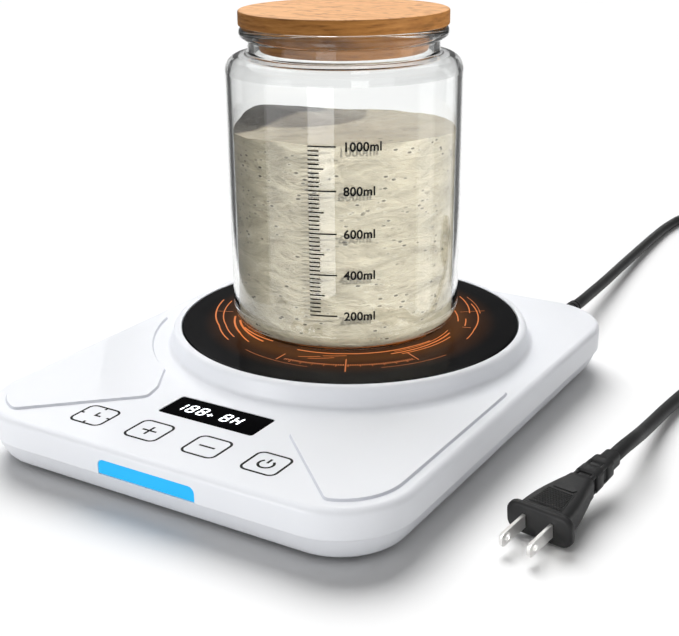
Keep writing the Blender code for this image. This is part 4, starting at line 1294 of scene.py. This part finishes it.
def make_lid():
    low, high = mm(DISC_LOW.z), mm(DISC_HIGH.z)
    r = mm(DISC_HIGH.x - DISC_LOW.x) / 2
    profile = [(r - 0.6, low), (r - 0.2, low + 0.15), (r, low + 0.6), (r, high - 1.1), (r - 0.1, high - 0.6),
               (r - 0.4, high - 0.22), (r - 0.85, high - 0.05), (r - 1.5, high)]
    wood_piece("bamboo_lid", profile, "lid_disc")
    low, high = mm(INSERT_LOW.z), mm(INSERT_HIGH.z)
    r = mm(INSERT_HIGH.x - INSERT_LOW.x) / 2
    wood_piece("bamboo_plug", [(r - 1.0, low), (r - 0.3, low + 0.3), (r, low + 1.0), (r, high)], "lid_insert")
    low, high = mm(GASKET_LOW.z), mm(GASKET_HIGH.z)
    inner, outer = 41.6, mm(GASKET_HIGH.x - GASKET_LOW.x) / 2
    rows = [(inner, low), (outer - 0.9, low)]
    for k in range(3):
        z = low + 0.3 + k * 1.6
        rows += [(outer - 0.8, z), (outer - 0.15, z + 0.25), (outer, z + 0.55), (outer - 0.15, z + 0.85),
                 (outer - 0.8, z + 1.15)]
    rows += [(outer - 0.9, high), (inner, high)]
    gasket = turned("silicone_seal", rows, MATS["silicone"], JAR_AT, 128, closed=True)
    gasket.visible_shadow = False
    settle(gasket, "lid", "silicone", "lid_gasket")


# ---- cord ends -------------------------------------------------------------
def along_y(obj, x, z):
    """Turn a piece made about the Z axis so that its axis runs along +Y through (x, z), in millimetres."""
    for vert in obj.data.vertices:
        a, b, c = vert.co
        vert.co = (x * MM + a, c, z * MM - b)
    obj.data.update()


def make_boot():
    rows = [(4.6, 128.5), (4.6, 131.2), (4.0, 131.4), (4.0, 136.4), (6.0, 136.45), (6.3, 136.7), (6.3, 137.8),
            (5.9, 138.2), (5.35, 138.4)]
    radius = 5.2
    for k in range(6):
        y = 138.8 + k * 4.6
        rows += [(radius, y), (radius - 0.05, y + 2.6), (radius - 0.25, y + 2.9), (radius - 0.8, y + 3.05),
                 (radius - 0.85, y + 4.0), (radius - 0.35, y + 4.2)]
        radius -= 0.21
    rows += [(4.0, 166.6), (3.85, 167.5), (3.5, 168.0)]
    boot = turned("cord_boot", rows, MATS["plug"], (0, 0), 48)
    along_y(boot, 74, PARTING_Z)
    settle(boot, "base", "cord_jacket", "strain_relief")


def on_plug(points):
    """Points of the plug's own frame, its face at y = 0 and its cord end at +y, set in place."""
    return [PLUG_PLACE @ Vector(point) for point in points]


def plug_loop(y, half_x, half_z, radius):
    return on_plug([(x, y, z) for x, z, _ in rounded_rect(2 * half_x, 2 * half_z, radius, 0, 6)])


def make_plug():
    rows = [(0, 14.0, 6.0, 4.4), (0.2, 14.6, 6.6, 4.7), (0.7, 15.1, 7.1, 5), (1.2, 15.2, 7.2, 5),
            (2.6, 15.2, 7.2, 5), (3.1, 15.0, 7.0, 4.9), (3.5, 14.4, 6.4, 4.5), (3.7, 12.0, 6.2, 3.4),
            (4.2, 11.6, 6.2, 3.2), (8, 11.3, 6.3, 3.2), (14, 10.6, 6.35, 3.2), (19, 9.6, 6.3, 3.2),
            (24, 8.4, 6.15, 3.2), (28, 7.4, 6.0, 3.1), (31, 6.6, 5.8, 3.1), (34.2, 6.1, 5.6, 3.0),
            (34.8, 5.7, 5.2, 2.8), (35.0, 4.4, 4.4, 2.6)]
    for start, end, half in [(38.6, 44.6, 5.5), (48.2, 54, 5.1)]:
        rows += [(start - 0.2, 4.3, 4.3, 2.6), (start, half - 0.3, half - 0.3, 2.8), (start + 0.4, half, half, 2.9),
                 (end - 0.5, half - 0.15, half - 0.15, 2.9), (end - 0.1, half - 0.5, half - 0.5, 2.7),
                 (end + 0.1, 4.1, 4.1, 2.4)]
    rows += [(55, 3.85, 3.85, 2.4), (61.2, 3.75, 3.75, 2.4), (62, 3.4, 3.4, 2.2)]
    bm = bmesh.new()
    skin(bm, [plug_loop(*row) for row in rows])
    for start, end, reach in [(34.6, 39, 3.7), (44.2, 48.6, 3.5)]:
        for sx in (-1, 1):
            for sz in (-1, 1):
                skin(bm, [on_plug([(sx * reach + 1.15 * math.cos(a), y, sz * reach + 1.15 * math.sin(a))
                                   for a in [math.radians(30 * k) for k in range(12)]]) for y in (start, end)])
    for side in (-1, 1):
        add_grip(bm, side)
    body = make_object("plug_housing", bm, MATS["plug"], 40)
    settle(body, "base", "plug_plastic", "plug_body")


def add_grip(bm, side):
    """Ribbed panel and thumb crescent on the plug's broad face."""
    skin(bm, [on_plug([(x * grow, y, side * z) for x, y in [(-7.6, 5.6), (7.6, 5.6), (6.2, 18.4), (-6.2, 18.4)]])
              for grow, z in [(1.03, 6.0), (1.0, 6.48)]])
    for k in range(10):
        y = 6.6 + k * 1.22
        half = 6.9 - 1.2 * k / 9
        rib = [(y - 0.34, 6.4), (y - 0.18, 6.85), (y + 0.18, 6.85), (y + 0.34, 6.4)]
        skin(bm, [on_plug([(x, ry, side * rz) for ry, rz in rib]) for x in (-half, half)])
    crescent = []
    for k in range(13):
        a = math.radians(15 + 150 * k / 12)
        crescent.append((5.6 * math.cos(a), 20.4 + 3.4 * math.sin(a)))
    crescent += [(-4.6, 19.6), (4.6, 19.6)]
    skin(bm, [on_plug([(x, y, side * z) for x, y in crescent]) for z in (5.6, 6.6)])


def make_blades():
    for i, side in enumerate((-1, 1), start=1):
        x = side * 6.35
        root, tip, half = -0.3, -17.6, 3.15
        outline = [(root, -half), (root, half), (tip + 1.5, half), (tip + 0.5, half - 0.5), (tip, half - 1.4),
                   (tip, -half + 1.4), (tip + 0.5, -half + 0.5), (tip + 1.5, -half)]
        hole = circle(1.55, 0, 32, (tip + 4, 0))
        bm = bmesh.new()
        sides = []
        for dx in (-0.75, 0.75):
            rim = add_loop(bm, on_plug([(x + dx, y, z) for y, z in outline]))
            eye = add_loop(bm, on_plug([(x + dx, y, z) for y, z, _ in hole]))
            plane_fill(bm, [rim, eye])
            sides.append((rim, eye))
        bridge(bm, sides[0][0], sides[1][0])
        bridge(bm, sides[0][1], sides[1][1])
        blade = make_object("blade_%d" % i, bm, MATS["nickel"])
        change = blade.modifiers.new("soften", "BEVEL")
        change.width = 0.2 * MM
        change.segments = 2
        change.limit_method = "ANGLE"
        settle(blade, "base", "nickelled_brass", "plug_blade_%d" % i)


def make_tie():
    """A soft strap round the coil."""
    bm = bmesh.new()
    half = 6.9 + 0.62
    rings = []
    for out, y in [(0, -3), (0.7, -3), (0.76, -2.6), (0.76, 2.6), (0.7, 3), (0, 3)]:
        outline = rounded_rect(2 * (half + out), 2 * (half + out), half + out - 4.9, 0, 8)
        rings.append([(222 + px, 268 + y, 8.4 + pz) for px, pz, _ in outline])
    skin(bm, rings, closed=True)
    tie = make_object("coil_strap", bm, MATS["rubber"])
    settle(tie, "base", "foot_rubber", "cord_tie")


make_camera()
cord, cord_length = make_cord()
make_stage()
make_top_cover()
make_bottom_cover()
make_feet_and_screws()
make_plate()
make_zone_marks()
make_display()
make_keys()
make_light_bar()
make_jar()
make_fill()
make_graduation()
make_lid()
make_boot()
make_plug()
make_blades()
make_tie()
make_cards()
light_pieces()


SLOT_LOOKS = {
    "white_casing": "white", "plate_glass": "plate", "clear_glass": "glass", "bamboo": "lid_face",
    "silicone": "silicone", "foot_rubber": "rubber", "aluminium_sheet": "aluminium", "steel": "steel",
    "nickelled_brass": "nickel", "heater_film": "film", "felt": "felt", "circuit_board": "board",
    "component_black": "black", "coil_tape": "tape", "terminal_green": "terminal", "window": "window",
    "light_lens": "light", "led": "led", "cord_jacket": "cord", "plug_plastic": "plug",
    "red_wire": "red", "white_wire": "pale_wire"}


def dress_cad_nodes():
    """Every CAD node keeps its shape and takes the look of its material slot."""
    for part in frame["record"]["subparts"]:
        obj = frame["nodes"][part["node"]]
        obj.data.materials.clear()
        obj.data.materials.append(MATS[SLOT_LOOKS[part["material_slot"]]])


dress_cad_nodes()
